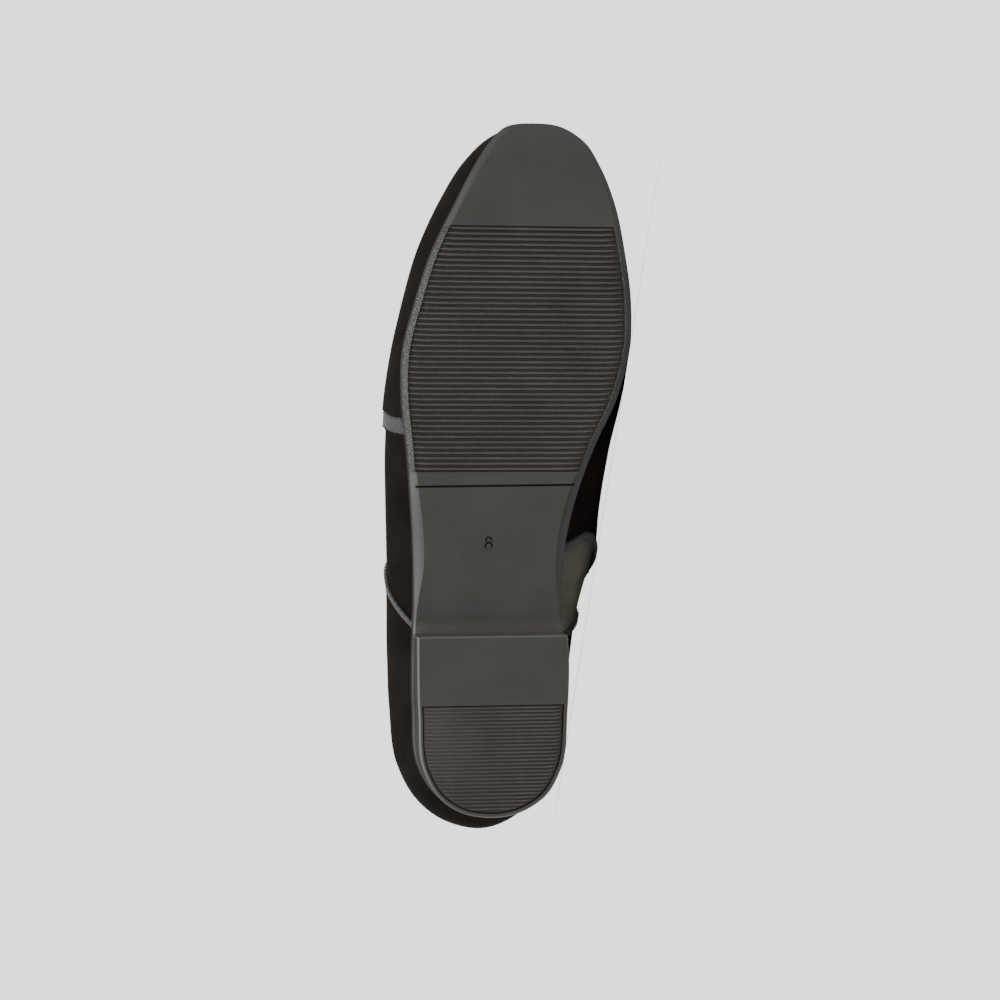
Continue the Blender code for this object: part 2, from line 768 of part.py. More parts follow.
def resting_turn(parts):
    """The turn that lays the shoe on the face of its hull that it comes to rest on, medial down."""
    bpy.context.view_layer.update()
    graph = bpy.context.evaluated_depsgraph_get()
    mass, centre, cloud = 0.0, np.zeros(3), []
    for made in parts:
        part_mass, part_centre, points = solid_mass(made, graph)
        mass += part_mass
        centre += part_mass * part_centre
        cloud.append(points)
    centre = Vector(centre / mass)
    hull = bmesh.new()
    for p in np.concatenate(cloud):
        hull.verts.new(p)
    bmesh.ops.convex_hull(hull, input=hull.verts)
    best, turn = 0.0, None
    for face in hull.faces:
        a, b, c = (v.co for v in face.verts)
        down = (b - a).cross(c - a).normalized()
        if down.dot(a - centre) < 0:
            down = -down
        foot = centre + down * down.dot(a - centre)
        sides = [
            (q - p).cross(foot - p).dot(down) * (1 if (b - a).cross(c - a).dot(down) > 0 else -1)
            for p, q in ((a, b), (b, c), (c, a))
        ]
        if min(sides) > 0 and -down.x > best:
            best, turn = -down.x, down
    hull.free()
    up = -turn
    forward = (Vector((0, 1, 0)) - up * up.y).normalized()
    side = up.cross(forward)
    return Matrix((forward, side, up)).to_4x4()


def lay_down(parts, cutters, where):
    """Hangs everything on one empty, laid on the floor with its origin under the middle."""
    turn = resting_turn(parts)
    bpy.context.view_layer.update()
    graph = bpy.context.evaluated_depsgraph_get()
    cloud = np.concatenate([solid_mass(made, graph)[2] for made in parts])
    laid = cloud @ np.array(turn.to_3x3()).T
    low, high = laid.min(axis=0), laid.max(axis=0)
    shift = Vector((-(low[0] + high[0]) / 2, -(low[1] + high[1]) / 2, -low[2]))
    holder = bpy.data.objects.new("lying_shoe", None)
    where.objects.link(holder)
    holder.matrix_world = Matrix.Translation(shift) @ turn
    for thing in parts + cutters:
        thing.parent = holder


def main():
    clear_scene()
    shoe = collection("velvet_slipper_loafer")
    helpers = collection("cutters", hidden=True)
    rubber = material("rubber", (0.058, 0.053, 0.049), 0.62)
    tread_rubber = material("tread_rubber", (0.045, 0.041, 0.036), 0.70)
    lining = material("lining", (0.020, 0.018, 0.018), 0.80)
    velvet = material("velvet", (0.010, 0.007, 0.006), 0.95)
    elastic = material("elastic", (0.052, 0.044, 0.034), 0.85)
    grosgrain = material("grosgrain", (0.110, 0.100, 0.098), 0.80)

    rigid = [make_outsole(shoe, helpers, rubber), make_heel_tread(shoe, tread_rubber)]
    soft = [make_upper(shoe, velvet), make_gore(shoe, elastic)]
    soft += make_trims(shoe, grosgrain)
    soft.append(make_collar(shoe, grosgrain))
    insole = make_insole(shoe, lining)
    for made in rigid:
        made["class"] = "rubber"
    for made in soft + [insole]:
        made["class"] = "fabric"
    lay_down(rigid + soft + [insole], list(helpers.objects), shoe)


main()
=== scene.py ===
import json
import math

import bmesh
import bpy
import numpy as np
from mathutils import Matrix, Vector


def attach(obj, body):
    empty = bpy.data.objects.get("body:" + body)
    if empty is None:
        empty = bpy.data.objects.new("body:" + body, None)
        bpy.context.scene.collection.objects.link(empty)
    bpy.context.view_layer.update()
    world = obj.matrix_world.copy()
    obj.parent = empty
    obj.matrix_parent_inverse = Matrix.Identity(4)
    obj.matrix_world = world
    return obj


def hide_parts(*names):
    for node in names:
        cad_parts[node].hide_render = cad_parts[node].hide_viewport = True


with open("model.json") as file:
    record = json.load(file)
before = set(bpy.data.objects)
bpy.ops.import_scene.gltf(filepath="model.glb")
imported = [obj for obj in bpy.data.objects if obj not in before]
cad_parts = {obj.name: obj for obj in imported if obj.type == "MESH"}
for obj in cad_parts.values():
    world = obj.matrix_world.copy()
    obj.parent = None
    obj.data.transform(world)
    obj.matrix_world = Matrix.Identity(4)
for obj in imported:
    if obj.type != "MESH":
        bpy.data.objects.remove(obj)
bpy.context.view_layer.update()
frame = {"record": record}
print("frame loaded")

# Velvet slipper loafer, right shoe, lying on its medial side.
# The shoe is shaped in its own frame, x lateral, y towards the toe, z up, heel's back edge at y 0,
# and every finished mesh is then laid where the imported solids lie.

tiny = 1e-4  # step along the rails for slopes

last = {
    "soleLength": 0.2625,
    "ballWidth": 0.0878,
    "soleThickness": 0.0065,
    "heelHeight": 0.0205,
    "seatLength": 0.0350,
    "toeSpring": 0.0095,
    "flatStart": 0.1380,
    "flatEnd": 0.2030,
    "instepHeight": 0.0690,
    "featherInset": 0.0012,
    "overhang": 0.0100,  # counter past the sole at the back
    "lowFullness": 0.45,  # how upright the wall starts under its widest line
    "middleStart": 0.16,  # the middle line is drawn in past these shares of the length
    "middleEnd": 0.90,
    "bulgeShare": 0.36,  # share of the wall's rows under its widest line
    "throat": 0.545,  # the crest ends and the topline starts here
    "gap": 0.0003,
    "heelSpot": (0.0, 0.0225, 0.0),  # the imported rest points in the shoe's own frame
    "ballSpot": (-0.010, 0.170, 0.0),
}

# station as a share of the length, lateral and medial offsets as shares of the ball width
soleRows = (
    (0.000, 0.000, 0.000),
    (0.008, 0.140, 0.128),
    (0.030, 0.236, 0.230),
    (0.069, 0.304, 0.298),
    (0.152, 0.328, 0.327),
    (0.236, 0.333, 0.333),
    (0.312, 0.332, 0.312),
    (0.381, 0.337, 0.319),
    (0.457, 0.353, 0.362),
    (0.533, 0.371, 0.442),
    (0.602, 0.392, 0.539),
    (0.670, 0.386, 0.595),
    (0.739, 0.333, 0.602),
    (0.815, 0.257, 0.574),
    (0.884, 0.154, 0.534),
    (0.937, 0.068, 0.477),
    (0.975, -0.010, 0.408),
    (0.993, -0.065, 0.330),
    (1.000, -0.200, 0.200),
)

# along from heel to toe, lateral and medial bevel as shares of its full width
bevelRows = (
    (0.00, 0.20, 0.20),
    (0.28, 0.14, 0.14),
    (0.32, 0.26, 0.28),
    (0.37, 0.72, 0.58),
    (0.42, 0.76, 0.74),
    (0.47, 0.60, 0.70),
    (0.53, 0.48, 0.46),
    (0.62, 0.46, 0.48),
    (0.74, 0.43, 0.45),
    (0.86, 0.43, 0.42),
    (0.94, 0.43, 0.40),
    (1.00, 0.42, 0.42),
)

# along, lateral and medial reach past the sole, lateral and medial rise of the widest line
bulgeRows = (
    (0.000, 0.95, 0.95, 0.180, 0.180),
    (0.039, 0.85, 0.72, 0.180, 0.180),
    (0.075, 0.74, 0.46, 0.182, 0.184),
    (0.114, 0.70, 0.34, 0.185, 0.190),
    (0.188, 0.78, 0.54, 0.190, 0.215),
    (0.261, 0.84, 0.78, 0.205, 0.300),
    (0.328, 0.87, 1.42, 0.225, 0.430),
    (0.388, 0.94, 1.90, 0.240, 0.520),
    (0.456, 0.88, 1.64, 0.230, 0.480),
    (0.524, 0.77, 1.14, 0.205, 0.370),
    (0.588, 0.50, 0.60, 0.185, 0.275),
    (0.649, 0.28, 0.35, 0.175, 0.225),
    (0.710, 0.33, 0.31, 0.170, 0.205),
    (0.780, 0.41, 0.29, 0.160, 0.185),
    (0.844, 0.46, 0.17, 0.148, 0.160),
    (0.896, 0.36, 0.03, 0.135, 0.140),
    (0.936, 0.14, -0.09, 0.125, 0.128),
    (0.959, -0.02, -0.13, 0.120, 0.122),
    (1.000, -0.16, -0.16, 0.118, 0.118),
)

# crest of the vamp: along, station, lateral offset, height
crestRows = (
    (0.545, 0.516, -0.085, 1.000),
    (0.588, 0.566, -0.092, 0.935),
    (0.649, 0.628, -0.102, 0.842),
    (0.710, 0.692, -0.115, 0.748),
    (0.780, 0.760, -0.132, 0.665),
    (0.844, 0.822, -0.150, 0.603),
    (0.896, 0.866, -0.165, 0.562),
    (0.936, 0.892, -0.174, 0.535),
    (1.000, 0.908, -0.180, 0.516),
)

# topline: along, station, lateral, medial, lateral height, medial height
toplineRows = (
    (0.000, -0.010, 0.000, 0.000, 0.915, 0.915),
    (0.039, 0.004, 0.118, 0.108, 0.900, 0.900),
    (0.075, 0.032, 0.210, 0.194, 0.880, 0.880),
    (0.114, 0.076, 0.285, 0.262, 0.852, 0.855),
    (0.188, 0.162, 0.350, 0.328, 0.815, 0.830),
    (0.261, 0.238, 0.372, 0.364, 0.798, 0.830),
    (0.328, 0.306, 0.370, 0.418, 0.806, 0.845),
    (0.388, 0.372, 0.345, 0.455, 0.830, 0.868),
    (0.456, 0.444, 0.270, 0.410, 0.885, 0.905),
    (0.500, 0.488, 0.165, 0.310, 0.942, 0.950),
    (0.528, 0.510, 0.040, 0.200, 0.985, 0.988),
    (0.545, 0.516, -0.085, 0.085, 1.000, 1.000),
)

# along, how full the wall's side, its top outwards and its top downwards are
fullnessRows = (
    (0.00, 0.45, 0.20, 0.40),
    (0.30, 0.45, 0.20, 0.40),
    (0.48, 0.45, 0.35, 0.30),
    (0.56, 0.42, 0.50, 0.06),
    (0.66, 0.44, 0.56, 0.00),
    (0.80, 0.56, 0.62, 0.00),
    (1.00, 0.66, 0.66, 0.00),
)

# where the panels meet, at these heights of the wall, as shares of the way from heel to toe
seamLevels = (0.0, 0.16, 0.36, 1.0)
seamRows = {
    "throat": (0.610, 0.610, 0.610, 0.545),
    "lateralVamp": (0.562, 0.568, 0.576, 0.505),
    "lateralQuarter": (0.286, 0.312, 0.340, 0.392),
    "medialVamp": (0.396, 0.420, 0.374, 0.362),
    "medialQuarter": (0.268, 0.280, 0.293, 0.306),
}


# Rails of the last

def smoothCurve(knots, points, period=None):
    knots = np.asarray(knots, float)
    points = np.asarray(points, float).reshape(len(knots), -1)
    if period:
        knots = np.concatenate([[knots[-1] - period], knots, [knots[0] + period, knots[1] + period]])
        points = np.concatenate([points[-1:], points, points[:2]])
    steps = np.diff(knots)[:, None]
    slopes = np.diff(points, axis=0) / steps
    inner = (slopes[1:] * steps[:-1] + slopes[:-1] * steps[1:]) / (steps[1:] + steps[:-1])
    tangents = np.concatenate([slopes[:1], inner, slopes[-1:]])
    start = knots[1] if period else knots[0]

    def at(t):
        t = np.asarray(t, float)
        if period:
            t = start + (t - start) % period
        i = np.clip(np.searchsorted(knots, t, side="right") - 1, 0, len(steps) - 1)
        h = steps[i]
        x = np.clip((t - knots[i])[..., None] / h, 0.0, 1.0)
        return (
            (2 * x**3 - 3 * x**2 + 1) * points[i]
            + (x**3 - 2 * x**2 + x) * h * tangents[i]
            + (3 * x**2 - 2 * x**3) * points[i + 1]
            + (x**3 - x**2) * h * tangents[i + 1]
        )

    return at


def roundValues(rows, lateral, medial):
    knots = [row[0] for row in rows]
    values = [row[lateral] for row in rows]
    other = [row[medial] for row in rows]
    knots += [2 - k for k in knots[-2:0:-1]]
    values += other[-2:0:-1]
    curve = smoothCurve(knots, values, period=2.0)
    return lambda t: curve(t)[..., 0]


def soleEdgeCurve():
    lateral = [(last["soleLength"] * s, last["ballWidth"] * a) for s, a, _ in soleRows]
    medial = [(last["soleLength"] * s, -last["ballWidth"] * b) for s, _, b in soleRows]
    chords = [
        (math.dist(lateral[i], lateral[i + 1]) + math.dist(medial[i], medial[i + 1])) / 2
        for i in range(len(soleRows) - 1)
    ]
    along = np.concatenate([[0.0], np.cumsum(chords)]) / sum(chords)
    knots = list(along) + [2 - a for a in along[-2:0:-1]]
    points = [(x, y) for y, x in lateral + medial[-2:0:-1]]
    return smoothCurve(knots, points, period=2.0)


edgeCurve = soleEdgeCurve()
bevelShare = roundValues(bevelRows, 1, 2)
bulgeOut = roundValues(bulgeRows, 1, 2)
bulgeRise = roundValues(bulgeRows, 3, 4)
crestCurve = smoothCurve([r[0] for r in crestRows], [r[1:] for r in crestRows])
toplineCurve = smoothCurve(
    [-r[0] for r in toplineRows[::-1]] + [r[0] for r in toplineRows[1:]],
    [(r[1], r[2], r[4]) for r in toplineRows[::-1]]
    + [(r[1], -r[3], r[5]) for r in toplineRows[1:]],
)
fullnessCurve = smoothCurve([r[0] for r in fullnessRows], [r[1:] for r in fullnessRows])
seamCurves = {name: smoothCurve(seamLevels, row) for name, row in seamRows.items()}


def unit(vectors):
    return vectors / np.linalg.norm(vectors, axis=-1, keepdims=True)


def runAlong(line):
    # distance covered at each point of a line
    return np.concatenate([[0.0], np.cumsum(np.linalg.norm(np.diff(line, axis=0), axis=1))])


def atHeight(plan, height):
    return np.concatenate([plan, np.broadcast_to(height, len(plan))[:, None]], axis=1)


def fromHeel(t):
    t = np.asarray(t, float) % 2.0
    return np.where(t <= 1.0, t, 2.0 - t)


def ease(x):
    x = np.clip(x, 0.0, 1.0)
    return x * x * (3 - 2 * x)


def featherHeight(y):
    lift = last["heelHeight"] - last["soleThickness"]
    lift = lift * ease((last["flatStart"] - y) / (last["flatStart"] - last["seatLength"]))
    toe = np.maximum(0.0, y - last["flatEnd"]) / (last["soleLength"] - last["flatEnd"])
    return last["soleThickness"] + lift + last["toeSpring"] * toe**2


def underside(y):
    return featherHeight(y) - last["soleThickness"]


def edgePoint(t, out=0.0):
    t = np.asarray(t, float)
    run = edgeCurve(t + tiny) - edgeCurve(t - tiny)
    side = unit(np.stack([run[..., 1], -run[..., 0]], axis=-1))
    return edgeCurve(t) + np.broadcast_to(out, t.shape)[..., None] * side


def topPoint(t):
    along = fromHeel(t)
    throat = last["throat"]
    crest = crestCurve(np.maximum(along, throat))
    side = np.where(np.asarray(t) % 2.0 <= 1.0, along, -along)
    line = toplineCurve(-np.clip(side, -throat, throat))
    row = np.where((along >= throat)[..., None], crest, line)
    sizes = (last["ballWidth"], last["soleLength"], last["instepHeight"])
    return row[..., [1, 0, 2]] * sizes


def wallPoint(t, level):
    # a point of the vamp's face, level 0 at the feather and 1 at the crest or topline
    t, level = np.broadcast_arrays(np.asarray(t, float), np.asarray(level, float))
    foot = edgePoint(t, -last["featherInset"])
    footZ = featherHeight(foot[..., 1]) + last["gap"]
    wide = edgePoint(t, last["overhang"] * bulgeOut(t))
    wideZ = footZ + last["instepHeight"] * bulgeRise(t)
    x = np.clip(level / last["bulgeShare"], 0, 1)
    a, b, c = (1 - x) ** 2, 2 * x * (1 - x), x * x
    plan = a[..., None] * foot + (b + c)[..., None] * wide
    low = a * footZ + b * (footZ + last["lowFullness"] * (wideZ - footZ)) + c * wideZ
    lower = np.concatenate([plan, low[..., None]], axis=-1)
    x = np.clip((level - last["bulgeShare"]) / (1 - last["bulgeShare"]), 0, 1)[..., None]
    top = topPoint(t)
    side, out, down = np.moveaxis(fullnessCurve(fromHeel(t)), -1, 0)
    height = top[..., 2] - wideZ
    first = np.concatenate([wide, wideZ[..., None]], axis=-1)
    second = first + np.stack([0 * side, 0 * side, side * height], axis=-1)
    reach = out[..., None] * (wide - top[..., :2])
    third = top + np.concatenate([reach, (-down * height)[..., None]], axis=-1)
    upper = (
        (1 - x) ** 3 * first + 3 * x * (1 - x) ** 2 * second + 3 * x * x * (1 - x) * third + x**3 * top
    )
    return np.where((level <= last["bulgeShare"])[..., None], lower, upper)


def sideNormal(t, level):
    near = np.minimum(level, 1 - tiny)
    across = wallPoint(t + tiny, near) - wallPoint(t - tiny, near)
    high = np.minimum(level + tiny, 1 - tiny)
    low = np.clip(level - tiny, 0, 1 - 3 * tiny)
    return unit(np.cross(across, wallPoint(t, high) - wallPoint(t, low)))


def wallNormal(t, level):
    t, level = np.broadcast_arrays(np.asarray(t, float), np.asarray(level, float))
    normal = sideNormal(t, level)
    crest = (level > 1 - tiny) & (fromHeel(t) > last["throat"] - tiny)
    shared = unit(normal + sideNormal(2.0 - t % 2.0, level))
    return np.where(crest[..., None], shared, normal)


def facePoint(t, level, depth):
    depth = np.asarray(depth, float)[..., None]
    return wallPoint(t, level) - depth * wallNormal(t, level)


def seamAt(name, level):
    ends = {"heel": 0.0, "toe": 1.0, "heelAgain": 2.0}
    level = np.asarray(level, float)
    if name in ends:
        return np.full(level.shape, ends[name])
    row = "throat" if name.endswith("Throat") else name
    share = seamCurves[row](level)[..., 0]
    return share if name.startswith("lateral") else 2.0 - share


def roundPace(t, level):
    # metres per unit of t round the wall
    return np.linalg.norm(wallPoint(t + tiny, level) - wallPoint(t - tiny, level), axis=-1) / (2 * tiny)


def middlePoint(t):
    along = fromHeel(t)
    middle = (edgeCurve(along) + edgeCurve(2.0 - along)) / 2
    low, high = last["middleStart"] * last["soleLength"], last["middleEnd"] * last["soleLength"]
    y = middle[..., 1]
    y = np.where(y < low, (y + low) / 2, np.where(y > high, (y + high) / 2, y))
    return np.stack([middle[..., 0], y], axis=-1)


def edgeX(side, y):
    # where the sole's edge lies at a station, lateral side 1 or medial side -1
    share = np.linspace(0.0, 1.0, 2001)
    edge = edgeCurve(share if side > 0 else 2.0 - share)
    return np.interp(y, edge[:, 1], edge[:, 0])


def shoePlace():
    rests = {m["name"]: m for m in frame["record"]["mounts"]}
    heel = Vector(rests["heel_rest"]["pos_m"])
    ball = Vector(rests["forefoot_rest"]["pos_m"])
    up = -Vector(rests["heel_rest"]["axis"]).normalized()
    line = (Vector(last["ballSpot"]) - Vector(last["heelSpot"])).normalized()
    run = (ball - heel).normalized()
    across = up.cross(run)
    sideAxis = run * line.x - across * line.y
    toeAxis = run * line.y + across * line.x
    turn = Matrix((sideAxis, toeAxis, up)).transposed().to_4x4()
    return Matrix.Translation(heel) @ turn @ Matrix.Translation(-Vector(last["heelSpot"]))


shoeToFloor = shoePlace()


# Meshes

def newThing(name, data):
    thing = bpy.data.objects.new(name, data)
    bpy.context.scene.collection.objects.link(thing)
    return thing


def newPiece(name, points, faces, weld=2e-6, sharp=40, floats=None):
    mesh = bpy.data.meshes.new(name)
    mesh.from_pydata([tuple(p) for p in points], [], faces)
    for label, values in (floats or {}).items():
        setFloat(mesh, label, values)
    if weld:
        shape = bmesh.new()
        shape.from_mesh(mesh)
        bmesh.ops.remove_doubles(shape, verts=shape.verts, dist=weld)
        bmesh.ops.dissolve_degenerate(shape, edges=shape.edges, dist=1e-8)
        bmesh.ops.recalc_face_normals(shape, faces=shape.faces)
        shape.to_mesh(mesh)
        shape.free()
    mesh.shade_smooth()
    mesh.set_sharp_from_angle(angle=math.radians(sharp))
    return newThing(name, mesh)


def addGuides(mesh, guides):
    # rows of points that a node tree turns into ribs, with a size for each point
    shape = bmesh.new()
    shape.from_mesh(mesh)
    mark = shape.verts.layers.bool.new("guide")
    size = shape.verts.layers.float.new("ribSize")
    for line, sizes in guides:
        verts = []
        for point, share in zip(line, sizes):
            vert = shape.verts.new(point)
            vert[mark] = True
            vert[size] = share
            verts.append(vert)
        for a, b in zip(verts[:-1], verts[1:]):
            shape.edges.new((a, b))
    shape.to_mesh(mesh)
    shape.free()


def gridFaces(grid, wrap=False):
    # quads over a table of point numbers, rows joined to the next
    grid = np.asarray(grid)
    if wrap:
        grid = np.concatenate([grid, grid[:1]])
    a, b, c, d = grid[:-1, :-1], grid[1:, :-1], grid[1:, 1:], grid[:-1, 1:]
    return np.stack([a, b, c, d], axis=-1).reshape(-1, 4).tolist()


def ringSolid(name, rings, middles, **options):
    # rings round the shoe, closed below and on top along the middle line
    rows = [np.asarray(middles[0])] + [np.asarray(r) for r in rings] + [np.asarray(middles[1])]
    points = np.concatenate(rows)
    size = len(rows[0])
    grid = np.arange(len(points)).reshape(len(rows), size)
    grid = np.concatenate([grid, grid[:, :1]], axis=1)
    return newPiece(name, points, gridFaces(grid), **options)


def stripSolid(name, front, back):
    # two faces with the same rows and columns, joined all round
    numbers = np.arange(front[..., 0].size).reshape(front.shape[:2])
    loop = np.concatenate([numbers, numbers[::-1] + numbers.size])
    faces = gridFaces(loop, wrap=True)
    for end in (0, -1):
        faces += gridFaces(np.stack([numbers[:, end], numbers[:, end] + numbers.size]))
    points = np.concatenate([front.reshape(-1, 3), back.reshape(-1, 3)])
    return newPiece(name, points, faces, sharp=50)


def lengthPrism(name, stations, left, right, lowZ, highZ):
    # a closed plate that follows the shoe's length; each station has a left and a right end
    columns = np.linspace(0.0, 1.0, 3)
    x = left[:, None] + (right - left)[:, None] * columns
    y = np.repeat(stations[:, None], len(columns), axis=1)
    low = np.stack([x, y, np.repeat(lowZ[:, None], len(columns), axis=1)], axis=-1)
    high = np.stack([x, y, np.repeat(highZ[:, None], len(columns), axis=1)], axis=-1)
    rows, width = x.shape
    loop = np.concatenate([low, high[:, ::-1]], axis=1)
    grid = np.arange(rows * 2 * width).reshape(rows, 2 * width)
    faces = gridFaces(np.concatenate([grid, grid[:, :1]], axis=1))
    for row in (grid[0], grid[-1]):
        faces += gridFaces(np.stack([row[:width], row[:width - 1:-1]]))
    return newPiece(name, loop.reshape(-1, 3), faces)


def freeze(piece):
    graph = bpy.context.evaluated_depsgraph_get()
    mesh = bpy.data.meshes.new_from_object(piece.evaluated_get(graph))
    mesh.name = piece.name
    piece.modifiers.clear()
    piece.data = mesh


def boolean(piece, cutter, operation="DIFFERENCE"):
    step = piece.modifiers.new(cutter.name, "BOOLEAN")
    step.operation = operation
    step.object = cutter
    step.solver = "EXACT"


def drop(things):
    for thing in things:
        bpy.data.objects.remove(thing, do_unlink=True)


def setFloat(mesh, name, values):
    layer = mesh.attributes.new(name, "FLOAT", "POINT")
    layer.data.foreach_set("value", np.asarray(values, np.float32))


def vertexTable(mesh):
    table = np.empty(len(mesh.vertices) * 3, np.float32)
    mesh.vertices.foreach_get("co", table)
    return table.reshape(-1, 3).astype(float)


def finish(piece, replaced=None):
    piece.data.transform(shoeToFloor)
    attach(piece, "root")
    if replaced:
        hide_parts(replaced)
    print(piece.name, len(piece.data.polygons), "faces")


# Node trees

def newTree(name, inputs):
    tree = bpy.data.node_groups.new(name, "GeometryNodeTree")
    sockets = tree.interface
    sockets.new_socket("Geometry", in_out="INPUT", socket_type="NodeSocketGeometry")
    sockets.new_socket("Geometry", in_out="OUTPUT", socket_type="NodeSocketGeometry")
    for label, kind, value in inputs:
        socket = sockets.new_socket(label, in_out="INPUT", socket_type="NodeSocket" + kind)
        if value is not None:
            socket.default_value = value
    return tree, tree.nodes.new("NodeGroupInput"), tree.nodes.new("NodeGroupOutput")


def node(tree, kind, inputs=None, **settings):
    made = tree.nodes.new(kind)
    for name, value in settings.items():
        setattr(made, name, value)
    for socket, value in (inputs or {}).items():
        if isinstance(value, bpy.types.NodeSocket):
            tree.links.new(value, made.inputs[socket])
        else:
            made.inputs[socket].default_value = value
    return made


def stored(tree, name, kind):
    return node(tree, "GeometryNodeInputNamedAttribute", {"Name": name},
                data_type=kind).outputs["Attribute"]


def reckon(tree, operation, first, second):
    return node(tree, "ShaderNodeMath", {0: first, 1: second}, operation=operation).outputs["Value"]


def centred(tree, vector, scale):
    # a random vector from 0 to 1, moved to lie round 0 and scaled
    moved = node(tree, "ShaderNodeVectorMath", {0: vector, 1: (0.5, 0.5, 0.5)}, operation="SUBTRACT")
    return node(tree, "ShaderNodeVectorMath", {0: moved.outputs["Vector"], "Scale": scale},
                operation="SCALE").outputs["Vector"]


def closeTree(tree, start, end, geometry, **chosen):
    # real geometry in the tree's material, or only its chosen faces
    real = node(tree, "GeometryNodeRealizeInstances", {"Geometry": geometry})
    painted = node(tree, "GeometryNodeSetMaterial",
                   {"Geometry": real.outputs["Geometry"], "Material": start.outputs["Material"],
                    **chosen})
    tree.links.new(painted.outputs["Geometry"], end.inputs["Geometry"])
    return tree


def ribTree():
    # the guide edges become rods that lie half in the surface, the rest of the mesh is kept
    tree, start, end = newTree("ribsOnGuides", (
        ("Radius", "Float", 0.0005),
        ("Sides", "Int", 8),
        ("Waviness", "Float", 0.0001),
        ("Wave Scale", "Float", 300.0),
        ("Material", "Material", None),
    ))
    split = node(tree, "GeometryNodeSeparateGeometry",
                 {"Geometry": start.outputs["Geometry"], "Selection": stored(tree, "guide", "BOOLEAN")})
    lines = node(tree, "GeometryNodeMeshToCurve", {"Mesh": split.outputs["Selection"]})
    place = node(tree, "GeometryNodeInputPosition")
    noise = node(tree, "ShaderNodeTexNoise",
                 {"Vector": place.outputs["Position"], "Scale": start.outputs["Wave Scale"]})
    shift = centred(tree, noise.outputs["Color"], start.outputs["Waviness"])
    moved = node(tree, "GeometryNodeSetPosition",
                 {"Geometry": lines.outputs["Curve"], "Offset": shift})
    radius = reckon(tree, "MULTIPLY", stored(tree, "ribSize", "FLOAT"), start.outputs["Radius"])
    profile = node(tree, "GeometryNodeCurvePrimitiveCircle",
                   {"Resolution": start.outputs["Sides"], "Radius": 1.0})
    rods = node(tree, "GeometryNodeCurveToMesh",
                {"Curve": moved.outputs["Geometry"], "Profile Curve": profile.outputs["Curve"],
                 "Scale": radius, "Fill Caps": True})
    marked = node(tree, "GeometryNodeStoreNamedAttribute",
                  {"Geometry": rods.outputs["Mesh"], "Name": "rib", "Value": True},
                  data_type="BOOLEAN", domain="FACE")
    joined = node(tree, "GeometryNodeJoinGeometry")
    tree.links.new(marked.outputs["Geometry"], joined.inputs[0])
    tree.links.new(split.outputs["Inverted"], joined.inputs[0])
    return closeTree(tree, start, end, joined.outputs["Geometry"], Selection=stored(tree, "rib", "BOOLEAN"))


def napTree():
    # short tapered fibres stand on the face where the nap attribute says so
    tree, start, end = newTree("napFibres", (
        ("Density", "Float", 800000.0),
        ("Length", "Float", 0.0008),
        ("Radius", "Float", 0.00003),
        ("Lean", "Float", 0.5),
        ("Seed", "Int", 7),
        ("Material", "Material", None),
    ))
    amount = reckon(tree, "MULTIPLY", stored(tree, "nap", "FLOAT"), start.outputs["Density"])
    spots = node(tree, "GeometryNodeDistributePointsOnFaces",
                 {"Mesh": start.outputs["Geometry"], "Density": amount,
                  "Seed": start.outputs["Seed"]})
    fibre = node(tree, "GeometryNodeMeshCone",
                 {"Vertices": 3, "Side Segments": 1, "Fill Segments": 1, "Radius Top": 0.0,
                  "Radius Bottom": start.outputs["Radius"], "Depth": start.outputs["Length"]})
    lean = node(tree, "FunctionNodeRandomValue", {"Seed": 11}, data_type="FLOAT_VECTOR")
    tilt = centred(tree, lean.outputs["Value"], start.outputs["Lean"])
    turn = node(tree, "FunctionNodeEulerToRotation", {"Euler": tilt})
    both = node(tree, "FunctionNodeRotateRotation",
                {"Rotation": spots.outputs["Rotation"], "Rotate By": turn.outputs["Rotation"]},
                rotation_space="LOCAL")
    length = node(tree, "FunctionNodeRandomValue", {2: 0.45, 3: 1.0, "Seed": 23},
                  data_type="FLOAT")
    stand = node(tree, "GeometryNodeInstanceOnPoints",
                 {"Points": spots.outputs["Points"], "Instance": fibre.outputs["Mesh"],
                  "Rotation": both.outputs["Rotation"]})
    tree.links.new(length.outputs[1], stand.inputs["Scale"])
    return closeTree(tree, start, end, stand.outputs["Instances"])


def stitchTree():
    # threads laid end to end along the guide edges
    tree, start, end = newTree("stitchesOnLine", (
        ("Pitch", "Float", 0.0026),
        ("Length", "Float", 0.0019),
        ("Radius", "Float", 0.00025),
        ("Material", "Material", None),
    ))
    line = node(tree, "GeometryNodeMeshToCurve", {"Mesh": start.outputs["Geometry"]})
    spots = node(tree, "GeometryNodeCurveToPoints",
                 {"Curve": line.outputs["Curve"], "Length": start.outputs["Pitch"]}, mode="LENGTH")
    stitch = node(tree, "GeometryNodeMeshUVSphere", {"Segments": 6, "Rings": 4, "Radius": 1.0})
    half = reckon(tree, "MULTIPLY", start.outputs["Length"], 0.5)
    size = node(tree, "ShaderNodeCombineXYZ",
                {"X": start.outputs["Radius"], "Y": start.outputs["Radius"], "Z": half})
    stand = node(tree, "GeometryNodeInstanceOnPoints",
                 {"Points": spots.outputs["Points"], "Instance": stitch.outputs["Mesh"],
                  "Rotation": spots.outputs["Rotation"], "Scale": size.outputs["Vector"]})
    return closeTree(tree, start, end, stand.outputs["Instances"])


def runTree(piece, tree, values):
    step = piece.modifiers.new(tree.name, "NODES")
    step.node_group = tree
    for socket in tree.interface.items_tree:
        if socket.in_out == "INPUT" and socket.name in values:
            step[socket.identifier] = values[socket.name]
    freeze(piece)


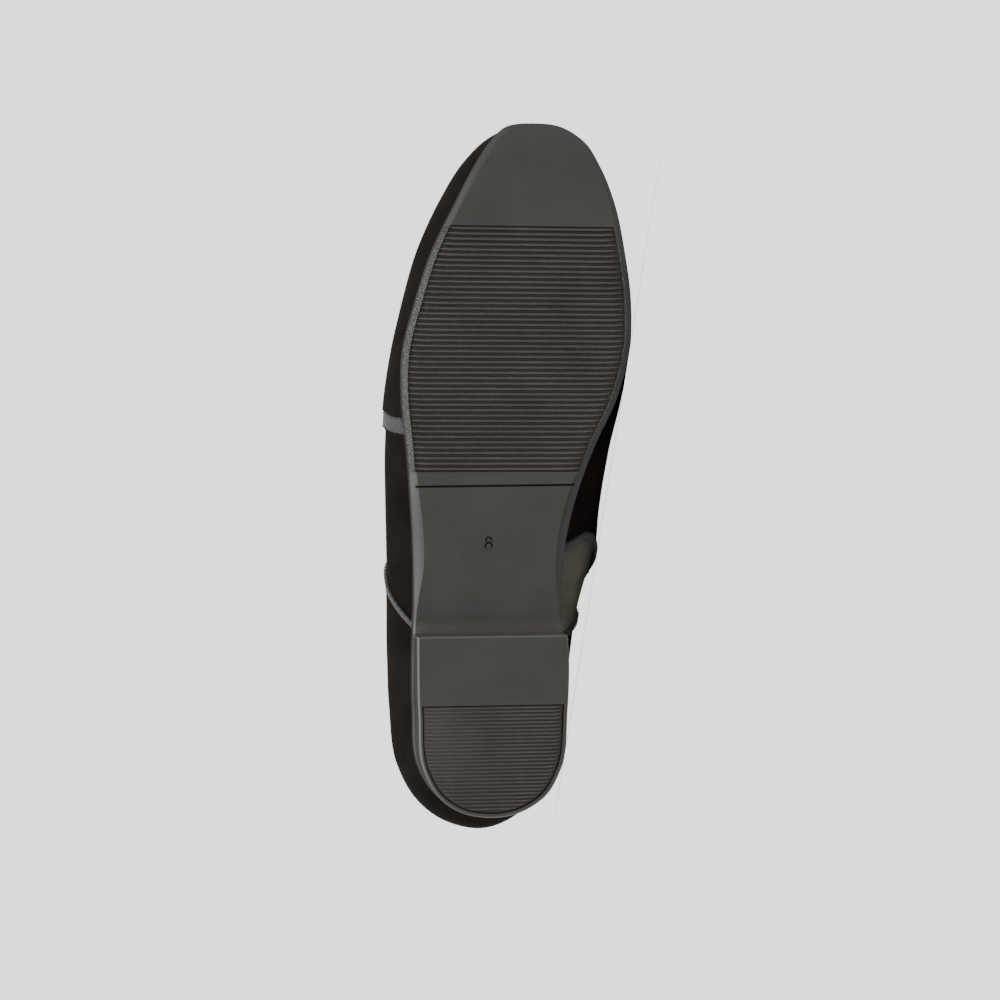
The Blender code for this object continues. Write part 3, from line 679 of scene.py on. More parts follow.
def layRibs(piece, guides, look, radius, sides, waviness, waveScale):
    addGuides(piece.data, guides)
    runTree(piece, ribs, {"Radius": radius, "Sides": sides, "Waviness": waviness,
                          "Wave Scale": waveScale, "Material": look})


ribs = ribTree()
naps = napTree()
stitches = stitchTree()
print("node trees ready")


# Finishes

def newLook(name, roughness, **sockets):
    look = bpy.data.materials.new(name)
    look.use_nodes = True
    shader = look.node_tree.nodes["Principled BSDF"]
    shader.inputs["Roughness"].default_value = roughness
    for socket, value in sockets.items():
        shader.inputs[socket].default_value = value
    return look, look.node_tree, shader


def grain(tree, source, scale, detail=3.0):
    return node(tree, "ShaderNodeTexNoise", {"Vector": source, "Scale": scale, "Detail": detail})


def twoTone(tree, shader, factor, dark, pale, low=0.35, high=0.65):
    ramp = node(tree, "ShaderNodeValToRGB", {"Fac": factor})
    ramp.color_ramp.elements[0].position = low
    ramp.color_ramp.elements[0].color = (*dark, 1.0)
    ramp.color_ramp.elements[1].position = high
    ramp.color_ramp.elements[1].color = (*pale, 1.0)
    tree.links.new(ramp.outputs["Color"], shader.inputs["Base Color"])
    return ramp


def relief(tree, shader, layers):
    # layers of height, strength and depth in metres, each over the one before
    normal = None
    for height, strength, distance in layers:
        bump = node(tree, "ShaderNodeBump",
                    {"Height": height, "Strength": strength, "Distance": distance})
        if normal:
            tree.links.new(normal, bump.inputs["Normal"])
        normal = bump.outputs["Normal"]
    tree.links.new(normal, shader.inputs["Normal"])


def surfaceMark(tree, name):
    return node(tree, "ShaderNodeAttribute", attribute_name=name).outputs["Fac"]


def towards(tree, share, base, tone, strength):
    # the base colour goes towards a tone at this strength by the share
    goal = (*[strength * part for part in tone], 1.0)
    return node(tree, "ShaderNodeMix", {0: share, 6: base, 7: goal}, data_type="RGBA").outputs[2]


# tones for painted light and painted shade on the rubber: how many times the pale tone the painted light
# goes to, and what share of the dark tone the painted shade goes to
rubberTones = {"paintedLightGain": 3.6, "paintedGrooveShade": 0.45}


def rubberLook(name, dark, pale, roughness, shine):
    # fine moulded grain, pebbled where the stipple attribute says so; painted shade darkens the grooves and
    # takes their gloss away, and painted light pales the heel's rounded edge and the waist just in front of
    # the heel
    look, tree, shader = newLook(name, roughness)
    place = node(tree, "ShaderNodeTexCoord").outputs["Object"]
    fine = grain(tree, place, 2600.0)
    cloudy = grain(tree, place, 45.0)
    mixed = reckon(tree, "ADD", fine.outputs["Fac"], cloudy.outputs["Fac"])
    ramp = twoTone(tree, shader, reckon(tree, "MULTIPLY", mixed, 0.5), dark, pale)
    paintedGrooveShade = surfaceMark(tree, "paintedGrooveShade")
    # painted light first, towards a tone many times the pale one, then painted shade in the recesses,
    # towards a fraction of the dark tone
    paintedLit = towards(tree, surfaceMark(tree, "paintedLight"), ramp.outputs["Color"], pale, rubberTones["paintedLightGain"])
    shaded = towards(tree, paintedGrooveShade, paintedLit, dark, rubberTones["paintedGrooveShade"])
    tree.links.new(shaded, shader.inputs["Base Color"])
    pebble = grain(tree, place, 1500.0, 1.0)
    # the gloss fades where the painted shade is, a painted shade on the reflections in the recesses
    bare = reckon(tree, "SUBTRACT", 1.0, paintedGrooveShade)
    gloss = reckon(tree, "MULTIPLY", bare, shine)
    tree.links.new(gloss, shader.inputs["Specular IOR Level"])
    band = reckon(tree, "MULTIPLY", bare, surfaceMark(tree, "stipple"))
    relief(tree, shader, (
        (fine.outputs["Fac"], 0.2, 0.0001),
        (reckon(tree, "MULTIPLY", pebble.outputs["Fac"], band), 1.0, 0.0005),
    ))
    return look


def velvetLook(name, dark, pale):
    look, tree, shader = newLook(name, 0.95, **{
        "Specular IOR Level": 0.06,
        "Sheen Weight": 0.11,
        "Sheen Roughness": 0.32,
        "Sheen Tint": (0.16, 0.11, 0.08, 1.0),
    })
    place = node(tree, "ShaderNodeTexCoord").outputs["Object"]
    brushed = grain(tree, place, 55.0)
    nap = grain(tree, place, 1900.0)
    twoTone(tree, shader, brushed.outputs["Fac"], dark, pale)
    relief(tree, shader, (
        (brushed.outputs["Fac"], 0.25, 0.0012),
        (nap.outputs["Fac"], 0.7, 0.0004),
    ))
    return look


def clothLook(name, dark, pale, roughness, threads, sheen=0.1):
    look, tree, shader = newLook(name, roughness, **{
        "Specular IOR Level": 0.2,
        "Sheen Weight": sheen,
        "Sheen Roughness": 0.5,
    })
    place = node(tree, "ShaderNodeTexCoord").outputs["Object"]
    yarn = grain(tree, place, threads)
    cloudy = grain(tree, place, 90.0)
    twoTone(tree, shader, cloudy.outputs["Fac"], dark, pale)
    relief(tree, shader, ((yarn.outputs["Fac"], 0.6, 0.0002),))
    return look


rubber = rubberLook("soleRubber", (0.0072, 0.0067, 0.0059), (0.0114, 0.0107, 0.0095), 0.42, 0.18)
# the heel tread's floor between the ribs: a darker copy of the tread rubber, painted shade between the ribs
treadFloorPaintedShade = rubberLook("treadFloorPaintedShade", (0.0082, 0.0068, 0.0055), (0.0130, 0.0109, 0.0089), 0.7, 0.10)
treadRubber = rubberLook("treadRubber", (0.0090, 0.0077, 0.0064), (0.0176, 0.0151, 0.0126), 0.5, 0.18)
velvet = velvetLook("blackVelvet", (0.0011, 0.0006, 0.0004), (0.0030, 0.0019, 0.0012))
lining = clothLook("lining", (0.0040, 0.0036, 0.0034), (0.0075, 0.0068, 0.0062), 0.85, 1600.0)
sock = clothLook("sockLeather", (0.0050, 0.0044, 0.0040), (0.0090, 0.0080, 0.0072), 0.55, 900.0)
elastic = clothLook("elasticRib", (0.060, 0.051, 0.037), (0.090, 0.077, 0.057), 0.8, 2400.0)
# the gore's plate under the ribs is far darker than the ribs: painted shade between the ribs
elasticBasePaintedShade = clothLook("elasticBasePaintedShade", (0.0060, 0.0050, 0.0038), (0.0095, 0.0080, 0.0061), 0.9, 2400.0)
grosgrain = clothLook("grosgrainRib", (0.020, 0.019, 0.019), (0.034, 0.032, 0.032), 0.65, 2600.0)
# the ribbons' base under the ribs is far darker than the ribs: painted shade between the ribs
grosgrainBasePaintedShade = clothLook("grosgrainBasePaintedShade", (0.0026, 0.0024, 0.0024), (0.0045, 0.0042, 0.0041), 0.85, 2600.0)
thread = clothLook("thread", (0.0060, 0.0052, 0.0046), (0.0110, 0.0098, 0.0088), 0.7, 3000.0)
print("finishes ready")


# Sole

outsole = {
    "bevelWidth": 0.0050,
    "bevelHeight": 0.0024,
    "heelLength": 0.0690,
    "heelBevel": 0.0009,
    "heelSeam": 0.0003,
    "heelSink": 0.0030,
    "pocketLength": 0.0428,
    "pocketDepth": 0.0025,
    "pocketMargin": 0.0016,
    "lineStation": 0.1253,
    "lineWidth": 0.0007,
    "lineSlant": 0.0009,  # the line runs this much further forward on the medial side
    "treadStart": 0.1305,
    "treadEnd": 0.2227,
    "treadPitch": 0.0020,
    "treadDepth": 0.0011,
    "treadInsetLateral": 0.0023,
    "treadInsetMedial": 0.0029,
    "ribRadius": 0.00058,
    "numberStation": 0.1037,
    "numberLateral": 0.0013,
    "numberLoops": ((0.00122, 0.00105), (-0.00118, 0.00132)),  # station from the middle, radius
    "numberStroke": 0.00034,
    "grooveShade": 0.0003,  # painted shade is fullest in recesses deeper than this
    # share of the painted shade on the tread pocket's floor; the engraved line and number get all of it
    "treadShade": 0.45,
    "stippleBand": 0.0030,
    "stippleFade": 0.0006,
    "treadFade": 0.003,  # the stipple comes and goes over this length at the tread's ends
    "bevelWall": 0.0012,  # the wall is smooth from this height above the tread's face
    "sharpAngle": 14,
    # painted light: shares by which the heel's rounded edge ring and the waist just in front of the heel are
    # paled towards a bright tone
    "rimPaintedLight": 0.65,
    "breastPaintedLight": 0.55,
    "breastReach": 0.0065,  # painted light pales the waist this far in front of the heel
    "places": 260,
}


def ringPlaces(count):
    half = np.arange(count) / count
    return np.concatenate([half, 1 + half])


def soleBody():
    t = ringPlaces(outsole["places"])
    bevel = outsole["bevelWidth"] * bevelShare(t)
    rise = outsole["bevelHeight"] * bevelShare(t)
    middle = middlePoint(t)
    rings = []
    inner = edgePoint(t, -bevel)
    for share in (0.8, 0.6, 0.4, 0.2, 0.02, 0.0):
        plan = inner + (middle - inner) * share
        rings.append(atHeight(plan, underside(plan[:, 1])))
    # the bevel, the rounded lower corner, the wall and its rounded upper corner
    for share in (0.94, 0.5, 0.1):
        plan = edgePoint(t, -bevel * share)
        rings.append(atHeight(plan, underside(plan[:, 1]) + rise * (1 - share)))
    edge = edgePoint(t)
    low = underside(edge[:, 1]) + rise
    high = featherHeight(edge[:, 1])
    for share in (0.08, 0.5, 0.94):
        rings.append(atHeight(edge, low + (high - low) * share))
    rings.append(atHeight(edgePoint(t, -0.0003), high))
    middles = [atHeight(middle, height(middle[:, 1])) for height in (underside, featherHeight)]
    return ringSolid("outsole", rings, middles, sharp=50)


def heelOutline(inset, front):
    share = np.linspace(0.0, 0.5, 501)
    side = share[np.argmax(edgePoint(share, -inset)[:, 1] > front)]
    turn = np.linspace(-1.0, 1.0, 121)
    plan = edgePoint(side * turn, -inset)
    plan[:, 1] = np.minimum(plan[:, 1], front)
    plan[[0, -1], 1] = front
    return plan


def heelPrism(name, rings):
    rows = [atHeight(plan, height) for plan, height in rings]
    size = len(rows[0])
    grid = np.arange(size * len(rows)).reshape(len(rows), size)
    faces = gridFaces(np.concatenate([grid, grid[:, :1]], axis=1))
    half = size // 2
    for row in (grid[0], grid[-1]):
        faces += gridFaces(np.stack([row[:half + 1], row[:half - 1:-1]]))
    return newPiece(name, np.concatenate(rows), faces)


def heelBlock():
    bevel, seam = outsole["heelBevel"], outsole["heelSeam"]
    rings = []
    for turn in (0.0, 0.5, 1.0):
        angle = turn * math.pi / 2
        inset = seam + bevel * (1 - math.sin(angle))
        front = outsole["heelLength"] - bevel * (1 - math.sin(angle))
        rings.append((heelOutline(inset, front), bevel * (1 - math.cos(angle))))
    top = heelOutline(seam, outsole["heelLength"])
    rings.append((top, underside(top[:, 1]) + outsole["heelSink"]))
    return heelPrism("heelBlock", rings)


def ribLine(y, left, right, z, spacing, taper, draw):
    count = max(8, int(abs(right - left) / spacing))
    share = np.linspace(0.0, 1.0, count)
    x = left + (right - left) * share
    reach = np.minimum(share, 1 - share) * abs(right - left)
    size = np.clip(reach / taper, 0.15, 1.0) ** 0.5 * (1 + 0.06 * draw.standard_normal(count))
    bend = 0.00025 * np.clip(1 - reach / (2 * taper), 0, 1)  # tips turn a little to the toe
    return np.stack([x, y + bend, np.full(count, z)], axis=1), size


def forefootGuides():
    draw = np.random.default_rng(45)
    lines = []
    count = int((outsole["treadEnd"] - outsole["treadStart"]) / outsole["treadPitch"])
    for i in range(count):
        y = outsole["treadStart"] + outsole["treadPitch"] * (i + 0.55)
        left = edgeX(1, y) - outsole["treadInsetLateral"]
        right = edgeX(-1, y) + outsole["treadInsetMedial"]
        z = float(underside(y)) + 1.1 * outsole["ribRadius"]
        lines.append(ribLine(y, left, right, z, 0.0014, 0.0025, draw))
    return lines


def numberLoop(station, radius):
    bpy.ops.mesh.primitive_torus_add(
        major_radius=radius, minor_radius=outsole["numberStroke"], major_segments=32, minor_segments=8,
        location=(outsole["numberLateral"], outsole["numberStation"] + station,
                  float(underside(outsole["numberStation"] + station))))
    return bpy.context.object


def engravedLine():
    x = np.array([-0.06, 0.06])
    slope = outsole["lineSlant"] / last["ballWidth"]
    length = math.hypot(x[1] - x[0], slope * (x[1] - x[0]))
    bpy.ops.mesh.primitive_cylinder_add(
        vertices=12, radius=outsole["lineWidth"] * 0.6, depth=length,
        location=(0.0, outsole["lineStation"], float(underside(outsole["lineStation"]))),
        rotation=(0.0, math.pi / 2, -slope))
    return bpy.context.object


def makeOutsole():
    piece = soleBody()
    y = np.linspace(outsole["treadStart"], outsole["treadEnd"], 60)
    pocket = lengthPrism(
        "forefootPocket", y, edgeX(1, y) - outsole["treadInsetLateral"],
        edgeX(-1, y) + outsole["treadInsetMedial"], underside(y) - 0.001,
        underside(y) + outsole["treadDepth"])
    plan = heelOutline(outsole["heelSeam"] + outsole["pocketMargin"], outsole["pocketLength"])
    heelPocket = heelPrism("heelPocket", [(plan, -outsole["pocketDepth"]), (plan, outsole["pocketDepth"])])
    cutters = [pocket, heelPocket, engravedLine()]
    cutters += [numberLoop(*loop) for loop in outsole["numberLoops"]]
    block = heelBlock()
    boolean(piece, block, "UNION")
    for cutter in cutters:
        boolean(piece, cutter)
    freeze(piece)
    drop(cutters + [block])
    points = vertexTable(piece.data)
    edge = edgeCurve(np.linspace(0.0, 2.0, 800, endpoint=False))
    away = np.min(np.linalg.norm(points[:, None, :2] - edge[None], axis=2), axis=1)
    fade = outsole["treadFade"]
    band = ease((points[:, 1] - outsole["treadStart"] + 0.001) / fade)
    band = band * (1 - ease((away - outsole["stippleBand"]) / outsole["stippleFade"]))
    band *= 1 - ease((points[:, 1] - outsole["treadEnd"] + fade) / fade)
    depth = points[:, 2] - underside(points[:, 1])
    band *= 1 - ease((depth - outsole["bevelWall"]) / outsole["bevelWall"])
    inside = (away > 0.0020) & (points[:, 1] > outsole["heelLength"] + 0.001)
    inside &= depth < 0.5 * last["soleThickness"]
    setFloat(piece.data, "stipple", band)
    # painted highlight on the middle ring of the heel's rounded bottom edge, and painted light on the
    # waist's underside just in front of the heel, fading forwards
    roundMiddle = outsole["heelBevel"] * (1 - math.cos(math.pi / 4))
    rim = (np.abs(points[:, 2] - roundMiddle) < 3e-5) & (points[:, 1] < outsole["heelLength"] + 0.001)
    fromBreast = points[:, 1] - outsole["heelLength"]
    foot = outsole["breastPaintedLight"] * (1 - ease(fromBreast / outsole["breastReach"]))
    foot *= (fromBreast > -1e-5) & (depth < 0.0005)
    setFloat(piece.data, "paintedLight", np.where(rim, outsole["rimPaintedLight"], foot))
    # painted shade: recesses of the forefoot and waist darken with depth, the tread pocket's floor by the
    # tread share, the engraved line and number fully
    tread = (points[:, 1] > outsole["treadStart"] - 0.001) & (points[:, 1] < outsole["treadEnd"] + 0.001)
    shade = np.where(tread, outsole["treadShade"], 1.0) * ease(depth / outsole["grooveShade"])
    setFloat(piece.data, "paintedGrooveShade", np.where(inside, shade, 0.0))
    piece.data.shade_smooth()
    piece.data.set_sharp_from_angle(angle=math.radians(outsole["sharpAngle"]))
    piece.data.materials.append(rubber)
    layRibs(piece, forefootGuides(), treadRubber, outsole["ribRadius"], 10, 0.00024, 380.0)
    finish(piece, "outsole")


heelTread = {"length": 0.0428, "thickness": 0.0025, "margin": 0.0019, "pitch": 0.00141,
             "ribRadius": 0.00046, "ribHeight": 0.0005, "end": 0.0003}


def makeHeelTread():
    draw = np.random.default_rng(29)
    inset = heelTread["margin"] + heelTread["end"]
    front = heelTread["length"] - heelTread["end"]
    plan = heelOutline(inset, front)
    rim = heelOutline(inset + 0.0004, front - 0.0004)
    rings = [(rim, heelTread["ribHeight"]), (plan, heelTread["ribHeight"] + 0.0003),
             (plan, heelTread["thickness"] - last["gap"])]
    piece = heelPrism("heel_tread", rings)
    # the plate between the ribs takes the darker copy of the tread rubber, painted shade
    piece.data.materials.append(treadFloorPaintedShade)
    lines = []
    half = len(plan) // 2
    backY = plan[half, 1]
    count = int((front - backY - 0.0008) / heelTread["pitch"])
    for i in range(count):
        y = front - heelTread["pitch"] * (i + 0.5)
        right = np.interp(-y, -plan[:half + 1, 1], plan[:half + 1, 0]) + 0.0004
        left = np.interp(y, plan[half:, 1], plan[half:, 0]) - 0.0004
        lines.append(ribLine(y, left, right, heelTread["ribRadius"], 0.0014, 0.0012, draw))
    layRibs(piece, lines, treadRubber, heelTread["ribRadius"], 8, 0.00016, 400.0)
    finish(piece, "heel_tread")


makeOutsole()
makeHeelTread()
print("sole done")


# Upper

upper = {
    "wall": 0.0030,
    "velvetPly": 0.0022,
    "liningStart": 0.00235,
    "quarterStep": 0.0008,
    "panelStep": 0.0016,
    "goreStep": 0.0019,
    "edgeRound": 0.0006,
    "lowerRows": 14,
    "upperRows": 42,
}

# from, to, step under the vamp's face, columns, rounded edge at the start, at the end
panels = (
    ("heel", "lateralQuarter", upper["quarterStep"], 64, False, True),
    ("lateralQuarter", "lateralVamp", upper["panelStep"], 52, False, False),
    ("lateralVamp", "lateralThroat", 0.0, 22, True, False),
    ("lateralThroat", "toe", 0.0, 84, False, False),
    ("toe", "medialThroat", 0.0, 84, False, False),
    ("medialThroat", "medialVamp", 0.0, 56, False, True),
    ("medialVamp", "medialQuarter", upper["goreStep"], 18, False, False),
    ("medialQuarter", "heelAgain", upper["quarterStep"], 64, True, False),
)

# Soft troughs and ridges, listed one by one: ends of each as place round the shoe and height of the
# wall, then half width and depth in metres; a ridge has a negative depth.
creases = (
    (0.640, 0.55, 0.700, 1.00, 0.0050, 0.00046),
    (0.668, 0.50, 0.724, 0.98, 0.0040, -0.00026),
    (0.690, 0.42, 0.748, 0.96, 0.0046, 0.00033),
    (1.350, 0.56, 1.300, 1.00, 0.0050, 0.00039),
    (1.322, 0.50, 1.276, 0.98, 0.0042, -0.00026),
    (1.296, 0.44, 1.250, 0.94, 0.0046, 0.00033),
    (0.200, 0.66, 0.262, 0.52, 0.0060, 0.00039),
    (0.205, 0.84, 0.300, 0.72, 0.0055, 0.00033),
    (1.800, 0.68, 1.738, 0.56, 0.0060, 0.00039),
    (0.460, 0.80, 0.420, 0.48, 0.0060, 0.00039),
)


def creaseDepth(points):
    depth = np.zeros(points.shape[:-1])
    for t0, level0, t1, level1, width, deep in creases:
        share = np.linspace(0.0, 1.0, 12)
        line = wallPoint(t0 + (t1 - t0) * share, level0 + (level1 - level0) * share)
        fade = np.sin(np.pi * np.clip(share, 0.04, 0.96)) ** 0.5
        apart = np.linalg.norm(points[..., None, :] - line, axis=-1)
        nearest = np.argmin(apart, axis=-1)
        close = np.take_along_axis(apart, nearest[..., None], axis=-1)[..., 0]
        depth += deep * fade[nearest] * np.exp(-((close / width) ** 2))
    return depth


def wallLevels(lower, upperRows):
    share = last["bulgeShare"]
    return np.concatenate([
        share * np.arange(lower) / lower,
        share + (1 - share) * np.arange(upperRows + 1) / upperRows,
    ])


def panelColumns(levels):
    # the place of each column at each level, and how deep its face lies
    places, depths = [], []
    radius = upper["edgeRound"]
    insets = radius * np.array([0.0, 0.08, 0.3, 0.62, 1.0])
    sinks = radius * (1 - np.sqrt(np.clip(1 - (1 - insets / radius) ** 2, 0, 1)))
    for start, end, step, count, roundStart, roundEnd in panels:
        a, b = seamAt(start, levels), seamAt(end, levels)
        columns = [(a + (b - a) * i / count, step) for i in range(count + 1)]
        if roundStart:
            pace = roundPace(a, levels)
            columns[:1] = [(a + inset / pace, step + sink) for inset, sink in zip(insets, sinks)]
        if roundEnd:
            pace = roundPace(b, levels)
            edge = [(b - inset / pace, step + sink) for inset, sink in zip(insets, sinks)]
            columns[-1:] = edge[::-1]
        for place, depth in columns:
            places.append(place)
            depths.append(np.full(len(levels), depth))
    return np.array(places), np.array(depths)


def shell(levels, backLevels, frontDepth, backDepth):
    # a wall between two depths, closed at the feather and along the topline
    places, steps = panelColumns(levels)
    depth = steps if frontDepth is None else np.full_like(steps, frontDepth)
    depth = depth + creaseDepth(wallPoint(places, levels))
    front = facePoint(places, np.broadcast_to(levels, places.shape), depth)
    backPlaces = panelColumns(backLevels)[0]
    wide = np.broadcast_to(backLevels, backPlaces.shape)
    back = facePoint(backPlaces, wide, backDepth + creaseDepth(wallPoint(backPlaces, backLevels)))
    count = len(places)
    frontGrid = np.arange(front[..., 0].size).reshape(front.shape[:2])
    backGrid = np.arange(back[..., 0].size).reshape(back.shape[:2]) + frontGrid.size
    faces = gridFaces(frontGrid, wrap=True) + gridFaces(backGrid, wrap=True)
    onCrest = fromHeel(places[:, -1]) > last["throat"] - tiny / 10
    for i in range(count):
        after = (i + 1) % count
        faces.append((frontGrid[i, 0], frontGrid[after, 0], backGrid[after, 0], backGrid[i, 0]))
        if not (onCrest[i] and onCrest[after]):
            faces.append((frontGrid[i, -1], frontGrid[after, -1], backGrid[after, -1], backGrid[i, -1]))
    faces = [[int(k) for k in f] for f in faces]
    points = np.concatenate([front.reshape(-1, 3), back.reshape(-1, 3)])
    nap = np.concatenate([np.ones(frontGrid.size), np.zeros(backGrid.size)])
    return points, faces, nap


def makeUpper():
    levels = wallLevels(upper["lowerRows"], upper["upperRows"])
    backLevels = wallLevels(4, 10)
    points, faces, nap = shell(levels, backLevels, None, upper["velvetPly"])
    piece = newPiece("upper", points, faces, sharp=60, floats={"nap": nap})
    piece.data.materials.append(velvet)
    makeNap(piece.data.copy())
    finish(piece, "upper")


napLook = {"density": 700000.0, "length": 0.0008, "radius": 0.00003, "lean": 0.9}


def makeNap(mesh):
    fibres = newThing("velvet_nap", mesh)
    runTree(fibres, naps, {"Density": napLook["density"], "Length": napLook["length"],
                           "Radius": napLook["radius"], "Lean": napLook["lean"], "Material": velvet})
    finish(fibres)


makeUpper()
print("upper done")


# Lining and insole

liningCloth = {"frontRows": (3, 8), "innerRows": (8, 26)}


def makeLining():
    points, faces, _ = shell(wallLevels(*liningCloth["innerRows"]), wallLevels(*liningCloth["frontRows"]),
                             upper["wall"], upper["liningStart"])
    piece = newPiece("quarter_lining", points, faces, sharp=60)
    piece.data.materials.append(lining)
    finish(piece)


insole = {"thickness": 0.0042, "edgeInset": 0.0049, "edgeRound": 0.0014, "places": 130,
          "heelCup": 0.0008, "ballDip": 0.0005,
          "seam": ((0.0026, 0.0), (0.0033, 0.00035), (0.0036, 0.00045), (0.0040, 0.0))}  # inset, dip


def insoleTop(plan):
    # the padded sock is hollowed under heel and ball, and its rim stands a little higher
    x, y = plan[:, 0], plan[:, 1]
    heel = np.exp(-((x / 0.020) ** 2) - (((y - 0.036) / 0.028) ** 2))
    ball = np.exp(-(((x + 0.008) / 0.026) ** 2) - (((y - 0.180) / 0.026) ** 2))
    thick = insole["thickness"] - insole["heelCup"] * heel - insole["ballDip"] * ball
    return featherHeight(y) + last["gap"] + thick


def makeInsole():
    t = ringPlaces(insole["places"])
    middle = middlePoint(t)
    start = edgePoint(t, -insole["edgeInset"])
    rings = [atHeight(start, featherHeight(start[:, 1]) + last["gap"])]
    radius = insole["edgeRound"]
    for turn in np.linspace(0, math.pi / 2, 6):
        plan = edgePoint(t, -insole["edgeInset"] - radius * (1 - math.cos(turn)))
        rings.append(atHeight(plan, insoleTop(plan) - radius * (1 - math.sin(turn))))
    for distance, dip in insole["seam"]:
        plan = edgePoint(t, -insole["edgeInset"] - distance)
        rings.append(atHeight(plan, insoleTop(plan) - dip))
    inner = rings[-1][:, :2]
    for share in np.linspace(0.1, 0.95, 14):
        plan = inner + (middle - inner) * share
        rings.append(atHeight(plan, insoleTop(plan)))
    low = featherHeight(middle[:, 1]) + last["gap"]
    middles = (atHeight(middle, low), atHeight(middle, insoleTop(middle)))
    piece = ringSolid("insole", rings, middles, sharp=60)
    piece.data.materials.append(sock)
    finish(piece, "insole")


makeLining()
makeInsole()
print("inside done")


# Gore and bindings

trims = {
    "end": 0.012,  # gore and bindings stop this share of the wall short of its ends
    "ribEnd": 0.016,  # and their ribs this share
    "rowPitch": 0.0012,
    "sewnEdge": 0.14,  # the stitches run this share of the width in from the edge
    "sewnBand": 0.07,
    "goreThickness": 0.0009,
    "goreRib": 0.00020,
    "gorePitch": 0.00080,
    "goreSlant": 0.95,  # toewards for each metre up the wall
    "bandWidth": 0.0060,
    "bandThickness": 0.0008,
    "edgeWidth": 0.0026,
    "edgeThickness": 0.0009,
    "roll": 0.0005,
    "ribPitch": 0.00078,
    "ribRadius": 0.00018,
    "edgeSoft": 0.00035,
}


def evenLevels(start, end, t, pitch):
    # heights of the wall an even distance apart along a line t(level)
    fine = np.linspace(start, end, 500)
    line = wallPoint(t(fine), fine)
    run = runAlong(line)
    count = max(4, int(run[-1] / pitch))
    return np.interp(np.linspace(0, run[-1], count), run, fine)


def ribbon(name, line, start, width, top, thickness, roll=0.0):
    # a woven ribbon along a seam: from start beside it, over width, its ribs across
    sign = 1 if width > 0 else -1

    def placeAt(level, across):
        t = seamAt(line, level)
        return t + (sign * start + across * width) / roundPace(t, level)

    def sunk(shares):
        # soft edges, and a face that the roll rounds out
        return (trims["edgeSoft"] * np.abs(2 * shares - 1) ** 6
                - roll * np.sqrt(1 - (2 * shares - 1) ** 2))

    levels = evenLevels(trims["end"], 1 - trims["end"], lambda level: placeAt(level, 0.5), trims["rowPitch"])
    across = np.array([0.0, 0.04, 0.14, 0.32, 0.5, 0.68, 0.86, 0.96, 1.0])
    places = np.array([placeAt(levels, share) for share in across])
    grid = np.broadcast_to(levels, places.shape)
    front = facePoint(places, grid, (top - thickness + sunk(across))[:, None] + 0 * grid)
    back = facePoint(places, grid, top + 0 * grid)
    piece = stripSolid(name, front, back)
    # the ribbon's plate shows between the ribs in its darker tone, painted shade
    piece.data.materials.append(grosgrainBasePaintedShade)
    ribLevels = evenLevels(trims["ribEnd"], 1 - trims["ribEnd"], lambda level: placeAt(level, 0.5),
                           trims["ribPitch"])
    shares = np.linspace(0.03, 0.97, 7)
    lines = []
    for level in ribLevels:
        t = np.array([placeAt(level, share) for share in shares])
        depth = top - thickness + sunk(shares) + 0.4 * trims["ribRadius"]
        lines.append((facePoint(t, np.full(len(shares), level), depth), np.ones(len(shares))))
    layRibs(piece, lines, grosgrain, trims["ribRadius"], 6, 0.00008, 500.0)
    finish(piece, name)
    band = trims["sewnBand"]
    rows = [1 - trims["sewnEdge"]] if width > 0 else [band, 1 - band]
    for share in rows:
        t = np.array([placeAt(level, share) for level in levels])
        lift = roll * math.sqrt(1 - (2 * share - 1) ** 2)
        seamLines.append(facePoint(t, levels, np.full(len(levels), top - thickness - lift - 0.0001)))


def makeGore():
    rows = evenLevels(trims["end"], 1 - trims["end"], lambda level: seamAt("medialVamp", level),
                      trims["rowPitch"])
    a, b = seamAt("medialVamp", rows), seamAt("medialQuarter", rows)
    gap = last["gap"] / roundPace(a, rows)
    shares = np.linspace(0, 1, 20)[:, None]
    places = a + gap + (b - a - 2 * gap) * shares
    grid = np.broadcast_to(rows, places.shape)
    floor = upper["goreStep"] - last["gap"]
    face = floor - trims["goreThickness"]
    piece = stripSolid("gore", facePoint(places, grid, face + 0 * grid),
                       facePoint(places, grid, floor + 0 * grid))
    # the plate shows between the ribs in its darker tone, painted shade
    piece.data.materials.append(elasticBasePaintedShade)

    # ribs on the bias: toewards as they climb, measured along the wall
    fine = np.linspace(trims["ribEnd"], 1 - trims["ribEnd"], 260)
    front, back = seamAt("medialVamp", fine), seamAt("medialQuarter", fine)
    pace = roundPace((front + back) / 2, fine)
    width = (back - front) * pace
    centre = wallPoint((front + back) / 2, fine)
    climb = runAlong(centre)
    middleT = (front + back) / 2
    spacing = trims["gorePitch"] * math.hypot(1, trims["goreSlant"])
    reach = float(width.max())
    lines = []
    offset = -reach
    while offset < reach + trims["goreSlant"] * climb[-1]:
        # distance rearwards of the middle line
        rear = offset - trims["goreSlant"] * climb
        inside = np.abs(rear) < width / 2 - 0.0007
        if inside.sum() > 6:
            level = fine[inside]
            t = middleT[inside] + rear[inside] / pace[inside]
            keep = np.unique(np.linspace(0, len(level) - 1, max(3, len(level) // 4)).astype(int))
            depth = np.full(len(keep), face + 0.3 * trims["goreRib"])
            lines.append((facePoint(t[keep], level[keep], depth), np.ones(len(keep))))
        offset += spacing
    layRibs(piece, lines, elastic, trims["goreRib"], 6, 0.0001, 600.0)
    finish(piece, "gore")


collar = {"lip": 0.0007, "leg": 0.0030, "rise": 0.0022, "ribPitch": 0.00078, "places": 360}


